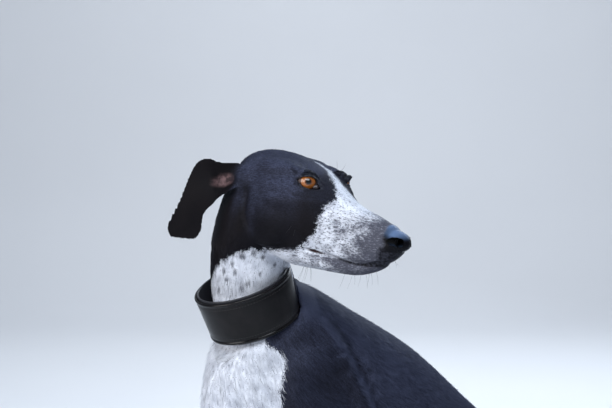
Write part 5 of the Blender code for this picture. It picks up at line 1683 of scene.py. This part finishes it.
def caruncle(side, look):
    """The haw: a small moist fold over the eyeball, and the soft lump that fills the inner corner."""
    at, gaze, inner, up = eye_axes(side)
    rows = []
    for u, v, deep, r in ((0.80, -0.50, 0.0080, 0.0020), (0.96, -0.46, 0.0074, 0.0027),
                          (1.12, -0.45, 0.0068, 0.0024), (1.28, -0.46, 0.0060, 0.0012)):
        rows.append((*(at + (u * inner + v * up) * CM + gaze * deep), r * 1.1, r * 1.1, r * 1.1, *gaze))
    return dress(to_head(loft("haw_" + SIDES[side], rows, sides=16, steps=5)), look)


def fine_claw(name, at, heading, fall, side, look):
    """A claw that curves down to its tip."""
    x, y, z = at
    ahead = unit(np.array((heading * side, -1.0, 0.0)))
    rows = []
    for share, thick in ((-CLAW_ROOT / CLAW_LENGTH, 0.92), (0.15, 0.90), (0.5, 0.72), (0.8, 0.46),
                         (0.98, 0.16)):
        drop = fall * max(0.0, share) ** 1.6
        p = np.array((side * x, y, z)) + ahead * CLAW_LENGTH * share - np.array((0, 0, drop))
        r = CLAW_RADIUS * thick * 0.97
        rows.append((*p, r * 0.8, r, r, 0, 0, 1))
    return dress(loft(name, rows, sides=20, steps=4), look)


def ring_of(name, profile, sides=180):
    """A closed ring round the collar's axis from a closed profile of (height, distance outside the
    leather)."""
    made = bmesh.new()
    loops = []
    for z, out in profile:
        r = collar_radius(z, out)
        loops.append([made.verts.new((r * math.cos(a), r * math.sin(a), z)) for a in turns(sides)])
    quads(made, loops + loops[:1])
    bmesh.ops.recalc_face_normals(made, faces=made.faces)
    made.transform(collar_frame())
    return from_bmesh(name, made)


def rounded_profile(half, inside, outside, corner, steps=5):
    """A closed outline of a flat band with rounded corners: height and distance outside the leather's
    face."""
    points = []
    for cz, cx, start in ((half - corner, outside - corner, 0), (half - corner, inside + corner, 90),
                          (-half + corner, inside + corner, 180), (-half + corner, outside - corner, 270)):
        for t in np.linspace(0, 90, steps):
            a = math.radians(start + t)
            points.append((cz + corner * math.sin(a), cx + corner * math.cos(a)))
    return points


def collar_pieces():
    """Leather band with rolled rims, its stitches, padded lining, tongue, buckle and prong."""
    leather = collar_leather_look()
    lining = grained("collar lining", 700, (0.012, 0.012, 0.015), (0.024, 0.024, 0.030), 0.34, 3.0, vary=0.12,
                     relief=(0.15, 0.0003), Specular_IOR_Level=0.5)
    steel = grained("steel", 400, (0.50, 0.50, 0.52), (0.62, 0.62, 0.64), 0.18, 3.0, (1.0, 6.0, 1.0), 0.14,
                    Metallic=1.0)
    thread = grained("thread", 900, (0.012, 0.010, 0.011), (0.030, 0.026, 0.027), 0.6)
    half, roll = COLLAR_HEIGHT / 2, 0.0021
    rim = [(half - 0.0062, 0.0), (half - 0.0050, -0.0003)]
    for a in map(math.radians, np.linspace(-60, 90, 8)):
        rim.append((half - roll + roll * math.sin(a), -0.0013 + roll * math.cos(a) * 0.95))
    for a in map(math.radians, np.linspace(110, 180, 3)):
        rim.append((half - roll + roll * math.sin(a), -0.0013 + 0.0016 * math.cos(a)))
    back = [(z, -LEATHER_THICK + 0.0002) for z in (half - 0.006, 0.0, 0.006 - half)]
    lower = [(-z, out) for z, out in reversed(rim)]
    front = [(z, 0.0) for z in (-0.012, 0.0, 0.012)]
    band = ring_of("collar_leather", rim + back + lower + front)
    height = np.abs(in_collar(points_of(band.data))[:, 2])
    attribute(band.data, "rim", step(half - 0.0060, half - 0.0040, height))
    inside = -LEATHER_THICK - GAP
    pad = ring_of("collar_lining",
                  rounded_profile(half + LINING_PROUD, inside - LINING_THICK + 0.0001, inside,
                                                   0.00115))
    stitches, tongue = stitch_rows(), fine_tongue()
    buckle, prong = fine_buckle()
    pieces = [(dress(piece, look), nodes, slot) for piece, look, nodes, slot in (
        (band, leather, ("collar_leather",), "collar_leather"),
        (pad, lining, ("collar_lining",), "collar_lining"),
        (stitches, thread, (), "collar_leather"), (tongue, leather, ("collar_strap_end",), "collar_leather"),
        (buckle, steel, ("collar_buckle",), "collar_steel"),
        (prong, steel, ("collar_prong",), "collar_steel"))]
    tongue.data.set_sharp_from_angle(angle=math.radians(60))
    return pieces


def stitch_rows():
    """Short slanting stitches in a line near each rim."""
    made = bmesh.new()
    count = 104
    size = Matrix.Diagonal((0.00024, 0.00115, 0.00036, 1))
    for level in (COLLAR_HEIGHT / 2 - 0.0078, -COLLAR_HEIGHT / 2 + 0.0078):
        seat = Matrix.Translation((collar_radius(level, 0.00005), 0, level)) @ Matrix.Rotation(0.18, 4, "X")
        for k in range(count):
            ball = bmesh.ops.create_icosphere(made, subdivisions=1, radius=1.0)["verts"]
            spin = Matrix.Rotation(2 * math.pi * k / count, 4, "Z")
            bmesh.ops.transform(made, matrix=spin @ seat @ size, verts=ball)
    made.transform(collar_frame())
    return from_bmesh("collar_stitches", made)


def fine_tongue():
    """The tongue as a second layer with rounded edges, its free end half round."""
    made = bmesh.new()
    rings = []
    steps = 44
    for i in range(steps + 1):
        share = i / steps
        angle = math.radians(STRAP_FROM + (STRAP_TO - STRAP_FROM) * share)
        round_off = math.sqrt(max(0.0, 1 - max(0.0, (share - 0.80) / 0.205) ** 2))
        half = (STRAP_HEIGHT / 2 - 0.0002) * max(0.12, round_off)
        ring = []
        for z, out in rounded_profile(half, 0.0, STRAP_THICK - 0.0002, min(0.0008, half * 0.9), 3):
            reach = collar_radius(z, GAP + out)
            ring.append(made.verts.new((reach * math.cos(angle), reach * math.sin(angle), z)))
        rings.append(ring)
    quads(made, rings)
    made.faces.new(rings[0])
    made.faces.new(rings[-1])
    bmesh.ops.recalc_face_normals(made, faces=made.faces)
    made.transform(collar_frame())
    return from_bmesh("collar_strap_end", made)


def fine_buckle():
    """The buckle's frame and its prong."""
    angle = math.radians(BUCKLE_ANGLE)
    radial = np.array((math.cos(angle), math.sin(angle), 0.0))
    across = np.array((-math.sin(angle), math.cos(angle), 0.0))
    wide, tall = BUCKLE_SIZE[0] / 2, BUCKLE_SIZE[1] / 2
    corner = 0.006

    def seat(x, z):
        out = collar_radius(z, 2 * GAP + STRAP_THICK + BUCKLE_BAR + 0.0006)
        return radial * math.sqrt(out * out - x * x) + across * x + np.array((0, 0, z))

    points = []
    for sx, sz, start in ((1, 1, 0), (-1, 1, 90), (-1, -1, 180), (1, -1, 270)):
        for turn in np.linspace(0, 90, 9):
            a = math.radians(start + turn)
            points.append(seat(sx * (wide - corner) + corner * math.cos(a),
                               sz * (tall - corner) + corner * math.sin(a)))
    reach = wide - BUCKLE_BAR - GAP
    prong = [seat(x, 0.0) for x in np.linspace(-reach, reach, 9)]
    return (rod("collar_buckle", points, BUCKLE_BAR * 0.97, closed=True, round_steps=5),
            rod("collar_prong", prong, PRONG_RADIUS * 0.97, round_steps=4))


def collar_leather_look():
    look = Look("collar leather")
    place = look.place()
    wear = look.ramp(look.noise(place, 55, 4.0, 0.6), 0.42, 0.72)
    colour = look.mix(wear, (0.0030, 0.0024, 0.0028), (0.0070, 0.0054, 0.0062))
    normal = look.bump(look.cells(place, 1100)[0], 0.12, 0.0003)
    normal = look.bump(look.noise(place, 140, 3.0), 0.10, 0.001, normal)
    rough = look.mul_add(look.value("rim"), -0.16, look.mul_add(wear, 0.10, 0.28))
    return look.finish(colour, rough, normal, Specular_IOR_Level=0.24)


def stage():
    """A pale floor that rises smoothly behind, and soft light from large panels."""
    made = bmesh.new()
    deep = [(-6.0, 0.0), (3.0, 0.0)]
    deep += [(3.0 + 1.6 * math.sin(a), 1.6 - 1.6 * math.cos(a)) for a in np.linspace(0.12, math.pi / 2, 14)]
    rows = [[made.verts.new((x, y, z)) for x in (-9.0, 9.0)] for y, z in deep + [(4.6, 6.0)]]
    for a, b in zip(rows, rows[1:]):
        made.faces.new((a[0], a[1], b[1], b[0]))
    made.transform(Matrix.Rotation(math.radians(CAMERA_YAW), 4, "Z"))
    floor = dress(from_bmesh("floor", made),
                  grained("floor", 1.2, (0.66, 0.68, 0.71), (0.71, 0.73, 0.76), 0.75, 3.0))
    world = bpy.data.worlds.new("studio")
    bpy.context.scene.world = world
    bpy.context.scene.view_settings.view_transform = "Standard"
    world.use_nodes = True
    sky = world.node_tree.nodes["Background"].inputs
    sky["Color"].default_value, sky["Strength"].default_value = (0.74, 0.83, 1.0, 1), 0.24
    for name, place, target, size, power, tint in (
            ("panel", (0.90, -1.28, 1.58), (0.05, -0.14, 0.62), (2.0, 0.65), 29, (0.88, 0.94, 1.0)),
            ("over", (0.0, 0.4, 3.0), (0.0, 0.0, 0.5), (2.2, 2.2), 33, (0.70, 0.84, 1.0)),
            ("side", (-0.38, -2.70, 0.95), (0.0, -0.15, 0.50), (1.4, 1.4), 29, (1.0, 0.99, 0.97)),
            ("rim", (-0.9, 2.2, 2.0), (0.1, -0.2, 0.65), (1.5, 1.5), 24, (0.80, 0.90, 1.0)),
            ("sweep", (-1.1, 0.9, 2.3), (-3.4, 2.9, 1.0), (2.0, 2.0), 62, (0.95, 0.97, 1.0))):
        light = bpy.data.lights.new(name, "AREA")
        light.shape = "RECTANGLE"
        light.size, light.size_y = size
        light.energy, light.color = power, tint
        lamp = link(name, light)
        lamp.location = place
        lamp.rotation_mode = "QUATERNION"
        lamp.rotation_quaternion = (Vector(target) - Vector(place)).to_track_quat("-Z", "Y")


def camera(shift):
    """The photo's view of the head and shoulders."""
    view = bpy.data.cameras.new("camera")
    view.lens, view.sensor_width, view.clip_end = 85, 36, 60
    holder = link("camera", view)
    yaw, pitch = math.radians(CAMERA_YAW), math.radians(4)
    holder.location = np.array(CAMERA_AT) + shift
    away = Vector((-math.sin(yaw) * math.cos(pitch), math.cos(yaw) * math.cos(pitch), -math.sin(pitch)))
    holder.rotation_euler = away.to_track_quat("-Z", "Y").to_euler()
    bpy.context.scene.camera = holder


CAMERA_AT = (1.325, -1.138, 0.765)
CAMERA_YAW = 50                     # degrees to the left of +Y, which is also how the stage is turned
FLESH = ("head", "neck", "nose", "chest", "loin", "rump", "tail_root", "tail_middle", "tail_tip")
PAIRED_FLESH = ("ear", "upper_arm", "foreleg", "forepaw", "thigh", "shank", "hind_pastern", "hind_paw")


def main():
    """Everything is drawn as the solid part is and then moved as the frame moved it, by where its eye
    lies."""
    drawn = eyeball("measure", RIGHT)
    box = points_of(drawn.data)
    low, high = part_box("eye_right")
    shift = (np.array(low) + np.array(high)) / 2 - (box.min(axis=0) + box.max(axis=0)) / 2
    shift[2] = -FLOOR_CUT
    bpy.data.objects.remove(drawn)

    skin = make_skin()
    mark_up(skin.data, points_of(skin.data), normals_of(skin.data))
    unwrap(skin)
    skin.data.materials.clear()
    skin.data.materials.append(skin_look())
    skin.data.polygons.foreach_set("material_index", np.zeros(len(skin.data.polygons), np.int32))
    coat = grow_coat(skin)
    tree = surface(skin)
    dark = grained("whiskers", 40, (0.010, 0.010, 0.012), (0.050, 0.048, 0.050), 0.40)
    coat += [whiskers(skin, tree, dark), lashes(skin, tree, dark)]

    shown = [(skin, FLESH + tuple(f"{n}_{s}" for n in PAIRED_FLESH for s in SIDES.values()), "black_coat")]
    shown += [(piece, (), "black_coat") for piece in coat]
    wet = eye_look()
    soft = grained("haw", 500, (0.024, 0.019, 0.022), (0.060, 0.045, 0.050), 0.42, Coat_Weight=0.25,
                   Coat_Roughness=0.15)
    horn = grained("claw", 900, (0.018, 0.016, 0.015), (0.070, 0.060, 0.052), 0.24, stretch=(1.0, 0.2, 1.0),
                   vary=0.15, relief=(0.2, 0.0002))
    for side, word in SIDES.items():
        shown.append((fine_eye(side, wet), (f"eye_{word}",), "eye"))
        shown.append((caruncle(side, soft), (), "black_coat"))
        for name, at, heading, fall in claws():
            node = f"{name}_{word}"
            shown.append((fine_claw(node, at, heading, fall, side, horn), (node,), "claw"))
    shown += collar_pieces()
    for piece, nodes, slot in shown:
        piece.data.transform(Matrix.Translation(shift))
        piece.data.update()
        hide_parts(*nodes)
        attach(piece, "root")
    stage()
    camera(shift)


main()
